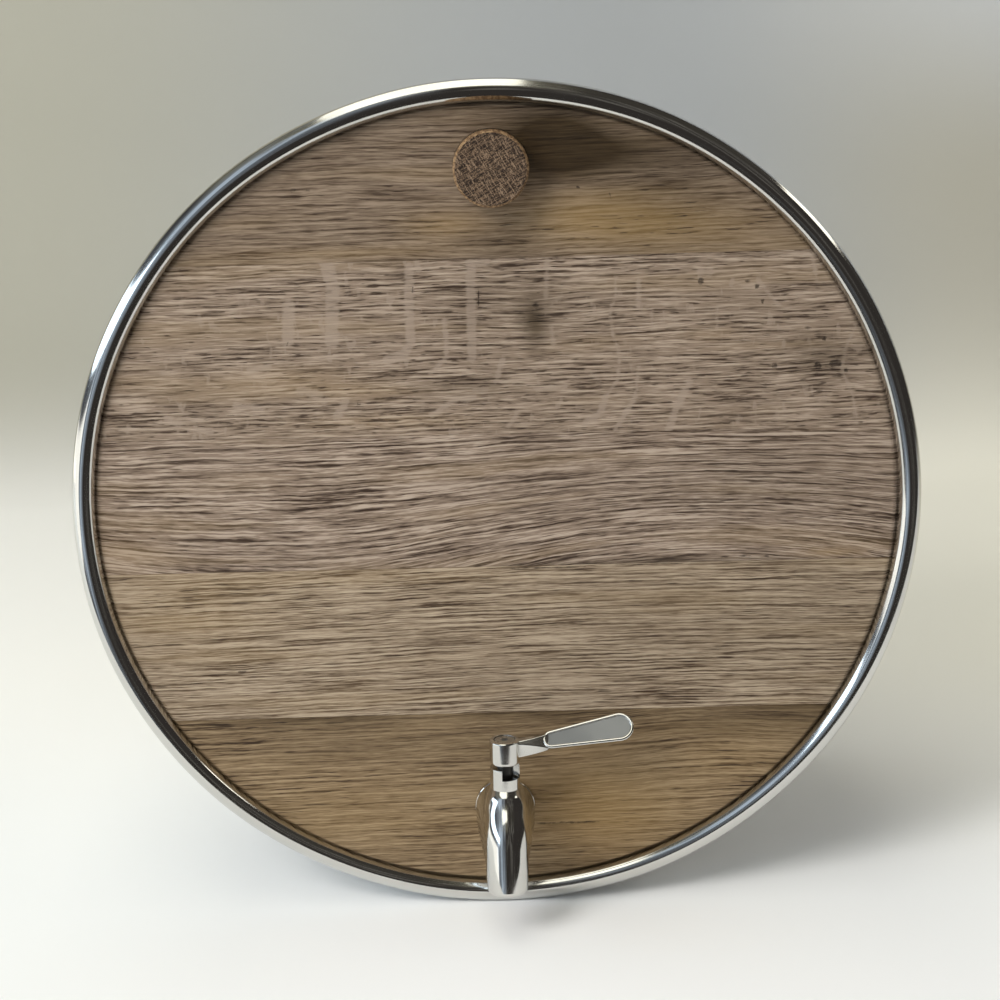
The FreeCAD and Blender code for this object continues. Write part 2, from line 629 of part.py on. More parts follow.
def make_tap_fixings():
    """Washers and lock nut that clamp the shank to the head."""
    hole = "shank_radius + shank_play"
    outer = "flange_radius - washer_inset"
    stack = (
        ("OuterWasher", "tap_outer_washer", outer, "outer_washer_thick", FLANGE_BACK),
        ("InnerWasher", "tap_inner_washer", "inner_washer_radius", "inner_washer_thick", INNER_FACE),
        ("PlateWasher", "tap_plate_washer", outer, "plate_washer_thick", PLATE_FACE),
    )
    for name, label, radius, thick, depth in stack:
        ring = tube(name, radius, hole, thick, ALONG_Y, ("0", depth, "0"))
        part(put_tap(ring), label)
    start = f"{PLATE_FACE} + plate_washer_thick"
    prism = bind(primitive("Prism", "NutBlank", Height="nut_thick"),
                 Circumradius=f"nut_flats / 2 * {HEX_WIDTH_FACTOR}")
    prism.Polygon = 6
    thread = cylinder("NutThread", "shank_radius + nut_play", "nut_thick")
    for piece in (prism, thread):
        put(piece, "0", start, "0", turn=ALONG_Y)
    part(put_tap(cut("LockNut", prism, thread)), "tap_lock_nut")


def make_valve():
    """Ball, two seats, the threaded ring that holds them, the stem and its two sealing rings."""
    ball = primitive("Sphere", "BallBlank", Radius="ball_radius")
    port = put(cylinder("Port", "port_radius", "3 * ball_radius"), "-1.5 * ball_radius", turn=ALONG_X)
    slot = primitive("Box", "TangSlot", Length="tang_width", Width="3 * ball_radius", Height="ball_radius")
    put(slot, "-tang_width / 2", "-1.5 * ball_radius", SLOT_FLOOR)
    part(put_tap(cut("Ball", cut("BoredBall", ball, port), slot)), "valve_ball")

    cup = primitive("Sphere", "SeatCup", Radius="ball_radius + seat_play")
    seats = []
    for name, start in (("FrontSeat", f"-{SEAT_OUTER}"), ("RearSeat", SEAT_INNER)):
        place = ("0", start, "0")
        ring = tube(f"{name}Ring", SEAT_R, "port_radius", "seat_length", ALONG_Y, place)
        seats.append(cut(name, ring, cup))
    part(put_tap(gather("Seats", seats)), "valve_seats")

    place = ("0", SEAT_OUTER, "0")
    ring = tube("RetainerRing", SEAT_R, "port_radius", "retainer_length", ALONG_Y, place)
    slot = primitive("Box", "SpannerSlot", Length=f"3 * {SEAT_R}")
    bind(slot, Width="retainer_slot", Height="retainer_slot")
    put(slot, f"-1.5 * {SEAT_R}", f"{SEAT_OUTER} + retainer_length - retainer_slot", "-retainer_slot / 2")
    part(put_tap(cut("Retainer", ring, slot)), "seat_retainer")

    body = new_body("Stem")
    rings = []
    grooves = []
    for i in range(2):
        middle = f"groove_low + {i} * groove_pitch"
        low, high = f"{middle} - groove_width / 2", f"{middle} + groove_width / 2"
        grooves += [("stem_radius", low), ("groove_radius", low)]
        grooves += [("groove_radius", high), ("stem_radius", high)]
        section = "(stem_radius + stem_play / 2 - groove_radius) / 2"
        torus = primitive("Torus", f"SealRing{i + 1}", Radius2=section)
        bind(torus, Radius1=f"groove_radius + {section}")
        rings.append(put(torus, along_z=middle))
    spin(body, "StemTurned", "XZ_Plane", [
        ("0", COLLAR_LOW), ("collar_radius", COLLAR_LOW), ("collar_radius", COLLAR_HIGH),
        ("stem_radius", COLLAR_HIGH), *grooves,
        ("stem_radius", HUB_LOW), ("0", HUB_LOW),
    ])
    tang = primitive("Box", "Tang", Length="tang_width", Width="2 * stem_radius")
    bind(tang, Height=f"{COLLAR_HIGH} - {TANG_LOW}")
    put(tang, "-tang_width / 2", "-stem_radius", TANG_LOW)
    square = primitive("Box", "Square", Length="square_side", Width="square_side")
    bind(square, Height=f"{SQUARE_TOP} - neck_top")
    put(square, "-square_side / 2", "-square_side / 2", "neck_top")
    whole = gather("StemWhole", [body, tang, square], "Part::MultiFuse")
    tapped = cylinder("StemThread", "screw_radius", "2 * screw_length")
    put(tapped, along_z=f"{SCREW_END} - recess_play")
    part(put_tap(cut("StemTapped", whole, tapped)), "valve_stem")
    part(put_tap(gather("SealRings", rings)), "stem_seal_rings")


def stadium(sketch, length, near, far, inset):
    """Two round ends of different size joined by tangent lines, drawn along the sketch's first axis."""
    ends = ((num(f"{near} - ({inset})"), num(near)), (num(f"{far} - ({inset})"), num(f"{length} - {far}")))
    (r1, x1), (r2, x2) = ends
    lean = math.acos((r1 - r2) / (x2 - x1))
    up = Vector(0, 0, 1)
    near_arc = Part.ArcOfCircle(Part.Circle(Vector(x1, 0, 0), up, r1), lean, 2 * math.pi - lean)
    far_arc = Part.ArcOfCircle(Part.Circle(Vector(x2, 0, 0), up, r2), -lean, lean)
    for piece in (near_arc, Part.LineSegment(near_arc.EndPoint, far_arc.StartPoint), far_arc,
                  Part.LineSegment(far_arc.EndPoint, near_arc.StartPoint)):
        sketch.addGeometry(piece)
    for a, a_end, b, b_end in ((0, 2, 1, 1), (1, 2, 2, 1), (2, 2, 3, 1), (3, 2, 0, 1)):
        sketch.addConstraint(Sketcher.Constraint("Tangent", a, a_end, b, b_end))
    for arc, radius, place in ((0, near, near), (2, far, f"{length} - {far}")):
        sketch.addConstraint(Sketcher.Constraint("PointOnObject", arc, 3, -1))
        dimension(sketch, "DistanceX", (-1, 1, arc, 3), place)
        dimension(sketch, "Radius", (arc,), f"{radius} - ({inset})")
    return sketch


def make_paddle():
    """The flat end of the lever: a tapered plate with round ends and a sunk plain panel."""
    body = new_body("Paddle")
    plate = new_sketch(body, "PlateOutline", "XY_Plane")
    stadium(plate, "paddle_length", "paddle_near", "paddle_far", "0")
    pad = body.newObject("PartDesign::Pad", "Plate")
    pad.Profile = plate
    pad.Midplane = True
    bind(pad, Length="paddle_thick")
    doc.recompute()
    edges = [f"Edge{i}" for i, e in enumerate(pad.Shape.Edges, start=1)
             if abs(e.CenterOfMass.z) > num("paddle_thick") / 2 - 0.01]
    rounded = body.newObject("PartDesign::Fillet", "PlateRounds")
    rounded.Base = (pad, edges)
    bind(rounded, Radius="paddle_round")
    doc.recompute()
    panel = new_sketch(body, "PanelOutline", "XY_Plane", ("0", "0", "paddle_thick / 2", "0"))
    stadium(panel, "paddle_length", "paddle_near", "paddle_far", "panel_border")
    before = rounded.Shape.Volume
    pocket = body.newObject("PartDesign::Pocket", "Panel")
    pocket.Profile = panel
    bind(pocket, Length="panel_depth")
    checked(pocket, before, -1)
    turn = Rotation(Vector(0, 1, 0), -num("paddle_rise")) * Rotation(Vector(1, 0, 0), num("paddle_tilt"))
    return put(body, "paddle_reach", "0", f"{HUB_LOW} + paddle_lift", turn=turn)


def make_arm():
    """The arm, lofted from an upright root in the hub to the tilted near end of the paddle."""
    body = new_body("Arm")
    start = ("0", f"{HUB_LOW} + arm_root_lift", "arm_root_reach", "0")
    root = new_sketch(body, "ArmRoot", "YZ_Plane", start)
    box_outline(root, "arm_root_width", "arm_root_height")
    height = f"{HUB_LOW} + paddle_lift + panel_border * tan(paddle_rise)"
    finish = ("0", height, "paddle_reach + panel_border", "paddle_tilt")
    end = new_sketch(body, "ArmEnd", "YZ_Plane", finish)
    box_outline(end, "2 * paddle_near - 2 * panel_border", "paddle_thick - 2 * panel_depth")
    loft = body.newObject("PartDesign::AdditiveLoft", "ArmLoft")
    loft.Profile = root
    loft.Sections = [end]
    loft.Ruled = True
    doc.recompute()
    return body


def make_lever():
    """Hub, stop lug, arm and paddle cast in one, with a square hole and a screw recess."""
    hub = new_body("Hub")
    spin(hub, "HubTurned", "XZ_Plane", [
        ("0", HUB_LOW), ("hub_radius", HUB_LOW), ("hub_radius", f"{HUB_HIGH} - hub_chamfer"),
        ("hub_radius - hub_chamfer", HUB_HIGH), ("screw_head_radius + recess_play", HUB_HIGH),
        ("screw_head_radius + recess_play", RECESS_FLOOR), ("0", RECESS_FLOOR),
    ])
    soften(hub, "HubRound", "hub_round", [("hub_radius", HUB_LOW)], Vector(0, 0, 1))
    lug_height = f"{HUB_LOW} + lug_root - {LUG_LOW}"
    lug = cylinder("LugBlank", "neck_radius + lug_lip", lug_height, Angle="lug_angle")
    core = cylinder("LugCore", "stem_radius + lug_clear", lug_height)
    for piece in (lug, core):
        put(piece, along_z=LUG_LOW)
        piece.setExpression("Placement.Rotation.Angle", sized("-lug_angle / 2"))
    cast = [hub, cut("Lug", lug, core), make_arm(), make_paddle()]
    whole = gather("LeverWhole", cast, "Part::MultiFuse")
    drive = primitive("Box", "DriveHole", Length="square_side", Width="square_side")
    bind(drive, Height=f"{SQUARE_TOP} + collar_play - {LUG_LOW}")
    put(drive, "-square_side / 2", "-square_side / 2", LUG_LOW)
    pin = put(cylinder("ScrewHole", "screw_radius", f"{HUB_HIGH} - {SQUARE_TOP}"), along_z=SQUARE_TOP)
    lever = cut("Lever", whole, gather("LeverHoles", [drive, pin], "Part::MultiFuse"))
    part(put_tap(lever), "tap_lever")

    head = put(cylinder("ScrewHead", "screw_head_radius", "screw_head_height"), along_z=RECESS_FLOOR)
    shank = put(cylinder("ScrewShank", "screw_radius", "screw_length"), along_z=SCREW_END)
    socket = bind(primitive("Prism", "ScrewSocket", Height="screw_head_height"),
                  Circumradius=f"screw_socket / 2 * {HEX_WIDTH_FACTOR}")
    socket.Polygon = 6
    put(socket, along_z=f"{RECESS_FLOOR} + screw_head_height - screw_socket_depth")
    screw = cut("Screw", gather("ScrewWhole", [head, shank], "Part::MultiFuse"), socket)
    part(put_tap(screw), "lever_screw")


def make_feet():
    """Two welded posts under the back of the vessel, each on a rubber pad, that stop it rolling."""
    ledge_back = f"({LEDGE} + sheet)"
    wall = primitive("Cone", "WallShape", Radius1=WALL_R, Radius2=BACK_R)
    bind(wall, Height=f"back_depth - {ledge_back}")
    put(wall, "0", f"{BEAD_Y} + {ledge_back}", "rim_radius", turn=ALONG_Y)
    posts, pads = [], []
    for side, sign in (("Left", "-"), ("Right", "")):
        spot = (f"{sign}foot_spacing / 2", f"{BEAD_Y} + back_depth - foot_inset")
        post = put(cylinder(f"Post{side}", "post_radius", "rim_radius / 2"), *spot, "pad_height")
        posts.append(cut(f"Foot{side}", post, wall))
        pads.append(put(cylinder(f"Pad{side}", "post_radius + pad_lip", "pad_height"), *spot, "0"))
    part(gather("FootPosts", posts), "foot_posts")
    part(gather("FootPads", pads), "foot_pads")


make_vessel()
make_rim()
make_gasket()
make_head()
make_bung()
make_tap_body()
make_tap_fixings()
make_valve()
make_lever()
make_feet()
doc.recompute()

for obj in doc.Objects:
    if {"Invalid", "Error"} & set(obj.State):
        raise ValueError(f"{obj.Name} did not recompute: {obj.State}")
for obj in parts:
    if obj.Shape.isNull() or not obj.Shape.isValid() or not obj.Shape.Solids:
        raise ValueError(f"{obj.Label} has no valid solid")

os.makedirs("parts", exist_ok=True)
for obj in parts:
    obj.Shape.exportStep(f"parts/{obj.Label}.step")
    box = obj.Shape.BoundBox
    print(f"{obj.Label}: {len(obj.Shape.Solids)} solid(s), {obj.Shape.Volume / 1000:.2f} cm3, "
          f"z {box.ZMin:.2f}..{box.ZMax:.2f}, y {box.YMin:.2f}..{box.YMax:.2f}")
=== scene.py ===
"""The dressed cask: five oak boards in a polished rolled rim, an oak bung and a cast quarter-turn tap.

Metres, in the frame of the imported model: origin on the table, +Z up, the head faces -Y. Shapes are worked
out in millimetres, in the head's own measures (x to the right and h up from the rim's middle, depth back
from the plane through the bead's centre) or in the tap's (origin where the stem axis meets the shank axis),
and then set down.
"""

import json
import math

import bmesh
import bpy
import numpy as np
from mathutils import Matrix, Vector


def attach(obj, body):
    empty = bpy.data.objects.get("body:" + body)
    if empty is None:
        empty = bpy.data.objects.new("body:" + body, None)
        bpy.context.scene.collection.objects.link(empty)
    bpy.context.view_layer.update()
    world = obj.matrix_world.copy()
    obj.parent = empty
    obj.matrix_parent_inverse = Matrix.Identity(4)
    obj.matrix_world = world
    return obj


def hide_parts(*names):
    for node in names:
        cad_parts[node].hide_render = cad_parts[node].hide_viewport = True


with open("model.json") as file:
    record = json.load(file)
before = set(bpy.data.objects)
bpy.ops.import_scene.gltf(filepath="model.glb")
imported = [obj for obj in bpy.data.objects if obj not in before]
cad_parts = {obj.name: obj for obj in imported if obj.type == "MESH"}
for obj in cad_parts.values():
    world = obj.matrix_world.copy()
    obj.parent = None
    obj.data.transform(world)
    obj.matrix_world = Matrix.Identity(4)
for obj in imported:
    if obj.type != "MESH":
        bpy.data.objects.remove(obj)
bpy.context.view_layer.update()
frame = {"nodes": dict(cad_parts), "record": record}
cad = frame["nodes"]
scene = bpy.context.scene

# the model's main measures, in millimetres
RIM_R = 190.0
BEAD = 5.0
BEAD_R = RIM_R - BEAD
SHEET = 1.2
HEAD_R = BEAD_R - SHEET - 0.6
FACE_DEPTH = 0.7
FACE_R = BEAD_R - math.sqrt(2) * (BEAD + 0.05) + FACE_DEPTH
HEAD_BACK = FACE_DEPTH + 20.0
BACK_BEVEL = 3.0
EASE = 0.3
BEAD_Y = -68.65
BUNG_H = 152.6
BUNG_HOLE_R = 16.25
TAP_AT = (0.6, BEAD_Y - 24.0, 48.5)
FLANGE_FRONT = 20.4
FLANGE_BACK = 23.2
SHANK_R = 8.0
SHANK_END = 58.2
SPOUT_AHEAD = 16.5
PASSAGE_R = 4.8
PASSAGE_TURN = 61.5
BEND_R = 11.0
NECK_R = 6.7
NECK_TOP = 28.9
HUB_R = 6.8
HUB_LOW = 30.4
HUB_HIGH = 41.9
PADDLE_AT = np.array([17.2, 0, 40.2])
PANEL_HEIGHT = 0.9

# the four joints between the boards: height at the left and the right of the rim
JOINTS = np.array([(112.1, 114.4), (36.0, 34.4), (-25.8, -26.1), (-96.8, -96.0)])


# ---------------- meshes

def on_head(x, h, depth):
    """Head measures to the model's frame, in metres."""
    return np.stack([x, BEAD_Y + depth, RIM_R + h], -1) / 1000


def on_tap(points):
    """Tap measures to the model's frame, in metres."""
    return (np.asarray(points, float) + TAP_AT) / 1000


def make_mesh(name, verts, faces, attributes=()):
    """A closed mesh from whole arrays: doubles are merged and the faces turned outwards."""
    data = bpy.data.meshes.new(name)
    data.from_pydata(verts.reshape(-1, 3), [], faces)
    for label, kind, values in attributes:
        layer = data.attributes.new(label, kind, "POINT")
        key = "vector" if kind == "FLOAT_VECTOR" else "value"
        layer.data.foreach_set(key, values.astype(np.float32).ravel())
    work = bmesh.new()
    work.from_mesh(data)
    bmesh.ops.remove_doubles(work, verts=work.verts, dist=2e-7)
    bmesh.ops.dissolve_degenerate(work, edges=work.edges, dist=1e-7)
    bmesh.ops.recalc_face_normals(work, faces=work.faces)
    if work.calc_volume(signed=True) < 0:
        bmesh.ops.reverse_faces(work, faces=work.faces)
    work.to_mesh(data)
    work.free()
    data.shade_smooth()
    obj = bpy.data.objects.new(name, data)
    scene.collection.objects.link(obj)
    return obj


def grid_faces(rows, columns, start=0):
    """The four-cornered faces between neighbouring points of a rows x columns grid."""
    i, j = np.meshgrid(np.arange(rows - 1), np.arange(columns - 1), indexing="ij")
    a = (i * columns + j + start).ravel()
    return np.stack([a, a + 1, a + columns + 1, a + columns], 1)


def skin(name, points):
    """A closed surface over a grid of points: rows or columns that meet are welded, sharp edges stay."""
    rows, columns = points.shape[:2]
    obj = make_mesh(name, points, grid_faces(rows, columns).tolist())
    obj.data.set_sharp_from_angle(angle=math.radians(40))
    return obj


def eased(corners, steps=7):
    """A profile with rounded corners.

    Each corner is (a, b, cut): it is cut back by cut along both of its sides and bridged by a circular arc,
    written as the rational parabola ((1-t)^2 A + 2 w t (1-t) V + t^2 B) / ((1-t)^2 + 2 w t (1-t) + t^2)
    with w the cosine of half the turn. One more point on each side holds the shading of the straights.
    """
    corners = np.array(corners, float)
    here, cut = corners[:, :2], corners[:, 2]
    back = np.roll(here, 1, 0) - here
    on = np.roll(here, -1, 0) - here
    back[0], on[-1] = on[0] * 1e-9, back[-1] * 1e-9
    back /= np.linalg.norm(back, axis=1, keepdims=True)
    on /= np.linalg.norm(on, axis=1, keepdims=True)
    cut[[0, -1]] = 0
    start, stop = here + back * cut[:, None], here + on * cut[:, None]
    half_turn = np.arccos(np.clip(-(back * on).sum(1), -1, 1)) / 2
    t = np.linspace(0, 1, steps)[None, :, None]
    weight = 2 * np.cos(half_turn)[:, None, None] * t * (1 - t)
    arc = (1 - t) ** 2 * start[:, None] + weight * here[:, None] + t**2 * stop[:, None]
    arc /= (1 - t) ** 2 + weight + t**2
    hold = 0.25 * cut[:, None]
    path = np.concatenate([(start + back * hold)[:, None], arc, (stop + on * hold)[:, None]], 1)
    return path.reshape(-1, 2)


def dense(profile, gap):
    """The profile with points added so that no two neighbours are further apart than gap."""
    step = np.linalg.norm(np.diff(profile, axis=0), axis=1)
    parts = np.maximum(np.ceil(step / gap).astype(int), 1)
    along = np.repeat(np.arange(len(step)), parts)
    share = (np.arange(len(along)) - np.repeat(np.cumsum(parts) - parts, parts)) / parts[along]
    points = profile[along] + (profile[along + 1] - profile[along]) * share[:, None]
    return np.concatenate([points, profile[-1:]])


def turned(profile, around=128):
    """A profile of (radius, height) turned about the upright axis: (r cos a, r sin a, z)."""
    a = np.linspace(0, 2 * np.pi, around + 1)
    r, z = profile[:, 0, None], profile[:, 1, None]
    return np.stack([r * np.cos(a), r * np.sin(a), z + 0 * a], -1)


def turned_on_tap(name, profile, around=128):
    """A piece of the tap turned about its stem axis."""
    return skin(name, on_tap(turned(np.asarray(profile, float), around)))


def lay_back(points):
    """Turns an upright shape so that its height runs along the depth."""
    return np.stack([points[..., 0], points[..., 2], -points[..., 1]], -1)


def carried(path, sideways, radius, around=96):
    """A round section of the given radii carried along a path in the plane x = 0.

    sideways is the section's second direction at each point; the first is always x.
    """
    a = np.linspace(0, 2 * np.pi, around + 1)[None, :, None]
    first = np.array([1.0, 0.0, 0.0])
    return path[:, None] + radius[:, None, None] * (np.cos(a) * first + np.sin(a) * sideways[:, None])


def combine(base, tools, operation):
    """Joins other closed shapes to base, or cuts them out of it, and leaves base with one mesh."""
    for tool in tools:
        step = base.modifiers.new(operation, "BOOLEAN")
        step.operation = operation
        step.solver = "MANIFOLD"
        step.object = tool
    depsgraph = bpy.context.evaluated_depsgraph_get()
    data = bpy.data.meshes.new_from_object(base.evaluated_get(depsgraph))
    base.modifiers.clear()
    base.data = data
    for tool in tools:
        bpy.data.objects.remove(tool)


def smooth_but_sharp(obj, angle):
    """Smooth shading with every edge sharper than the angle kept."""
    obj.data.shade_smooth()
    obj.data.set_sharp_from_angle(angle=math.radians(angle))


def sector(name, low, high, inner, outer, start, stop, steps):
    """A piece of a ring from one angle, in degrees, to another, closed by its two flat ends."""
    a = np.radians(np.linspace(start, stop, steps))
    r, z = np.array([(inner, low), (outer, low), (outer, high), (inner, high), (inner, low)]).T[:, :, None]
    points = np.stack([r * np.cos(a), r * np.sin(a), z + 0 * a], -1)
    first, last = (np.broadcast_to(points[:4, k].mean(0), (5, 1, 3)) for k in (0, -1))
    return skin(name, on_tap(np.concatenate([first, points, last], 1)))


# ---------------- finishes

finishes = {}


class Finish:
    """A node material being put together, kept in finishes under its name."""

    def __init__(self, name):
        self.material = finishes[name] = bpy.data.materials.new(name)
        self.material.use_nodes = True
        self.nodes = self.material.node_tree.nodes
        self.links = self.material.node_tree.links
        self.shader = self.nodes["Principled BSDF"]

    def add(self, kind, inputs=(), **settings):
        """Adds a node, sets its settings, and feeds its inputs with values or with other nodes' outputs."""
        node = self.nodes.new(f"ShaderNode{kind}")
        for key, value in settings.items():
            setattr(node, key, value)
        for key, value in dict(inputs).items():
            self.feed(node, key, value)
        return node

    def feed(self, node, key, value):
        """Links a socket to an input, or sets the input's value."""
        if isinstance(value, bpy.types.NodeSocket):
            self.links.new(value, node.inputs[key])
        else:
            node.inputs[key].default_value = value

    def shade(self, **inputs):
        """Feeds the shader's inputs, named with _ for a space, and gives the material."""
        for key, value in inputs.items():
            self.feed(self.shader, key.replace("_", " "), value)
        return self.material

    def place(self):
        """Object coordinates, in metres."""
        return self.add("TexCoord").outputs["Object"]

    def stretched(self, vector, scale, move=(0, 0, 0), turn=(0, 0, 0)):
        """The vector turned, scaled and moved."""
        inputs = {"Vector": vector, "Scale": scale, "Location": move, "Rotation": turn}
        return self.add("Mapping", inputs).outputs[0]

    def noise(self, vector, scale=1.0, detail=2.0, roughness=0.5):
        """Soft noise about 0.5."""
        inputs = {"Vector": vector, "Scale": scale, "Detail": detail, "Roughness": roughness}
        return self.add("TexNoise", inputs).outputs["Fac"]

    def remap(self, value, low, high, to_low=0.0, to_high=1.0):
        """A smooth step from to_low to to_high as the value goes from low to high."""
        inputs = {0: value, 1: low, 2: high, 3: to_low, 4: to_high}
        return self.add("MapRange", inputs, interpolation_type="SMOOTHSTEP").outputs[0]

    def calc(self, operation, a, b=0.0):
        return self.add("Math", {0: a, 1: b}, operation=operation).outputs[0]

    def plus(self, a, b):
        return self.calc("ADD", a, b)

    def less(self, a, b):
        return self.calc("SUBTRACT", a, b)

    def times(self, a, b):
        return self.calc("MULTIPLY", a, b)

    def mix(self, share, a, b, blend="MIX"):
        """Colour a with a share of b over it."""
        node = self.add("Mix", data_type="RGBA", blend_type=blend)
        for key, value in ((0, share), (6, a), (7, b)):
            self.feed(node, key, value)
        return node.outputs[2]

    def bump(self, height, distance, strength=1.0):
        return self.add("Bump", {"Height": height, "Distance": distance, "Strength": strength}).outputs[0]

    def attribute(self, name, output="Fac"):
        return self.add("Attribute", attribute_name=name).outputs[output]

    def from_axis(self, split, height):
        """The distance from a line along y at the given height, in millimetres, out of x, y and z apart."""
        up = self.less(split[2], height / 1000)
        return self.calc("SQRT", self.plus(self.calc("POWER", split[0], 2), self.calc("POWER", up, 2)))


def rgb(r, g, b):
    """A colour given as it looks on a screen, 0 to 255, as the shader's linear values."""
    c = np.array([r, g, b]) / 255
    return (*np.where(c <= 0.04045, c / 12.92, ((c + 0.055) / 1.055) ** 2.4).tolist(), 1.0)


def dimmed(colour, share):
    return tuple(share * c for c in colour[:3]) + (1,)


def oak(name, pale, middle, dark, lines, spread, dashes, length, flecks=0.0, ray_colour=(168, 150, 134)):
    """Open-pored, unvarnished oak. The grain follows the surface's own "grain" vector.

    The tone is a sum of two noises drawn out along the grain, a broad one with so many lines a metre and a
    finer one; it runs from dark to pale over the given spread about its middle, and is calmer on the rays.
    Pores are the lowest places of a third noise, crowded into slow bands; dashes makes them more and length
    makes them longer. Rays, stains (with painted shadow among them), gold patches and specks come from the
    surface's values of those names, with edges torn by one more noise; flecks adds small rays here and
    there. Colours are as rgb() takes them.
    """
    pale, middle, dark, ray_colour = (rgb(*colour) for colour in (pale, middle, dark, ray_colour))
    f = Finish(name)
    grain = f.attribute("grain", "Vector")
    wander = f.noise(f.stretched(grain, (24, 110, 26)), detail=3, roughness=0.6)
    drift = f.add("CombineXYZ", {1: f.times(wander, 0.0026)}).outputs[0]
    grain = f.add("VectorMath", {0: grain, 1: drift}, operation="ADD").outputs[0]
    broad = f.noise(f.stretched(grain, (30 / length, lines, 40)), detail=2, roughness=0.55)
    fine = f.noise(f.stretched(grain, (110, 2.1 * lines, 120)), detail=2, roughness=0.6)
    dash = f.noise(f.stretched(grain, (110 / length, 1.35 * lines, 90), move=(3, 1, 7)), detail=2)
    blotch = f.noise(f.stretched(grain, (13, 34, 13)), detail=3)
    zone = f.noise(f.stretched(grain, (7, 75, 9), move=(5, 2, 1)), detail=2)
    tear = f.noise(f.stretched(grain, (230, 640, 200)), detail=3, roughness=0.65)
    ragged = f.times(f.less(tear, 0.5), 1.5)
    ray = f.remap(f.plus(f.attribute("ray"), ragged), 0.30, 0.95)
    if flecks:
        faint = f.noise(f.stretched(grain, (210, 95, 100), turn=(0, 0, 0.3)), detail=2, roughness=0.5)
        small = f.times(f.remap(faint, 0.60, 0.70), f.remap(blotch, 0.42, 0.58, 0, flecks))
        ray = f.calc("MAXIMUM", ray, small)
    speck = f.remap(f.plus(f.attribute("speck"), ragged), 0.40, 0.95, 0.0, 0.8)
    tone = f.plus(f.times(broad, 0.62), f.times(fine, 0.38))
    calm = f.less(1.25, f.times(ray, 0.40))
    tone = f.plus(f.times(f.less(tone, 0.5), calm), 0.5)
    low = f.plus(f.times(dash, 0.62), f.times(broad, 0.38))
    low = f.plus(low, f.remap(zone, 0.36, 0.64, -0.03, 0.04))
    pore = f.remap(low, 0.32 + 0.05 * dashes, 0.40 + 0.05 * dashes, 1.0, 0.0)
    pore = f.times(pore, f.less(1.0, f.times(ray, 0.65)))
    colour = f.mix(f.remap(tone, 0.5 - spread, 0.5), dark, middle)
    colour = f.mix(f.remap(tone, 0.5, 0.5 + 0.8 * spread), colour, pale)
    colour = f.mix(f.remap(blotch, 0.40, 0.70, 0.0, 0.28), colour, middle)
    colour = f.mix(f.remap(zone, 0.50, 0.68, 0.0, 0.22), colour, rgb(148, 124, 90))
    colour = f.mix(f.times(ray, 0.42), colour, ray_colour)
    colour = f.mix(f.times(f.attribute("gold"), 0.55), colour, rgb(158, 128, 80))
    colour = f.mix(f.times(pore, 0.85), colour, rgb(58, 42, 31))
    # this darkening carries real stains and painted shadow alike
    colour = f.mix(f.attribute("stain_and_shadow"), colour, (0.19, 0.16, 0.095, 1), "MULTIPLY")
    colour = f.mix(speck, colour, rgb(36, 25, 17))
    height = f.less(f.times(tone, 1.2), f.times(pore, 0.6))
    height = f.less(height, f.times(speck, 0.8))
    return f.shade(Base_Color=colour, Roughness=f.remap(ray, 0, 1, 0.72, 0.58),
                   Normal=f.bump(height, 0.0005, 0.9), Specular_IOR_Level=0.3)


def end_grain(name):
    """The bung's oak: rings and rays cross on its ends, with dark vessels among them; its side is golden."""
    f = Finish(name)
    place = f.place()
    along_rings = f.stretched(place, (1, 1, 1), turn=(0, math.radians(30), 0))
    rings = f.noise(f.stretched(along_rings, (170, 60, 1350)), detail=2)
    rays = f.noise(f.stretched(along_rings, (1500, 60, 190)), detail=2)
    vessels = f.noise(place, scale=1700, detail=1)
    blotch = f.noise(place, scale=110, detail=2)
    radius = f.from_axis(f.add("SeparateXYZ", {0: place}).outputs, RIM_R + BUNG_H)
    tone = f.mix(f.remap(rings, 0.42, 0.56), rgb(50, 35, 25), rgb(112, 90, 70))
    tone = f.mix(f.remap(rays, 0.50, 0.60, 0, 0.75), tone, rgb(146, 121, 98))
    tone = f.mix(f.remap(vessels, 0.54, 0.64, 0, 0.75), tone, rgb(32, 22, 15))
    tone = f.mix(f.remap(blotch, 0.4, 0.7, 0, 0.25), tone, rgb(66, 49, 37))
    strands = f.noise(f.stretched(place, (900, 45, 900)), detail=2)
    side = f.mix(f.remap(strands, 0.40, 0.60), rgb(112, 84, 58), rgb(160, 129, 94))
    # the ends reach to 15.2 mm, where the rim is turned over to the side
    tone = f.mix(f.remap(radius, 0.0151, 0.0154, 0, 0.9), tone, side)
    height = f.less(f.times(rays, 0.5), f.remap(vessels, 0.52, 0.66))
    return f.shade(Base_Color=tone, Roughness=0.68, Normal=f.bump(height, 0.0004), Specular_IOR_Level=0.35)


def steel(name, colour, roughness, lines, line_depth):
    """Steel with smudges and fine lines, which repeat along x, y and z as often a metre as lines says."""
    f = Finish(name)
    place = f.place()
    scratch = f.noise(f.stretched(place, lines), detail=3, roughness=0.6)
    handling = f.noise(place, scale=35, detail=3)
    rough = f.plus(f.remap(handling, 0.35, 0.75, roughness, roughness + 0.08),
                   f.times(scratch, 0.06))
    tone = f.mix(f.remap(handling, 0.3, 0.8, 0, 0.25), colour, dimmed(colour, 0.82))
    return f.shade(Base_Color=tone, Metallic=1.0, Roughness=rough, Normal=f.bump(scratch, line_depth, 0.5))


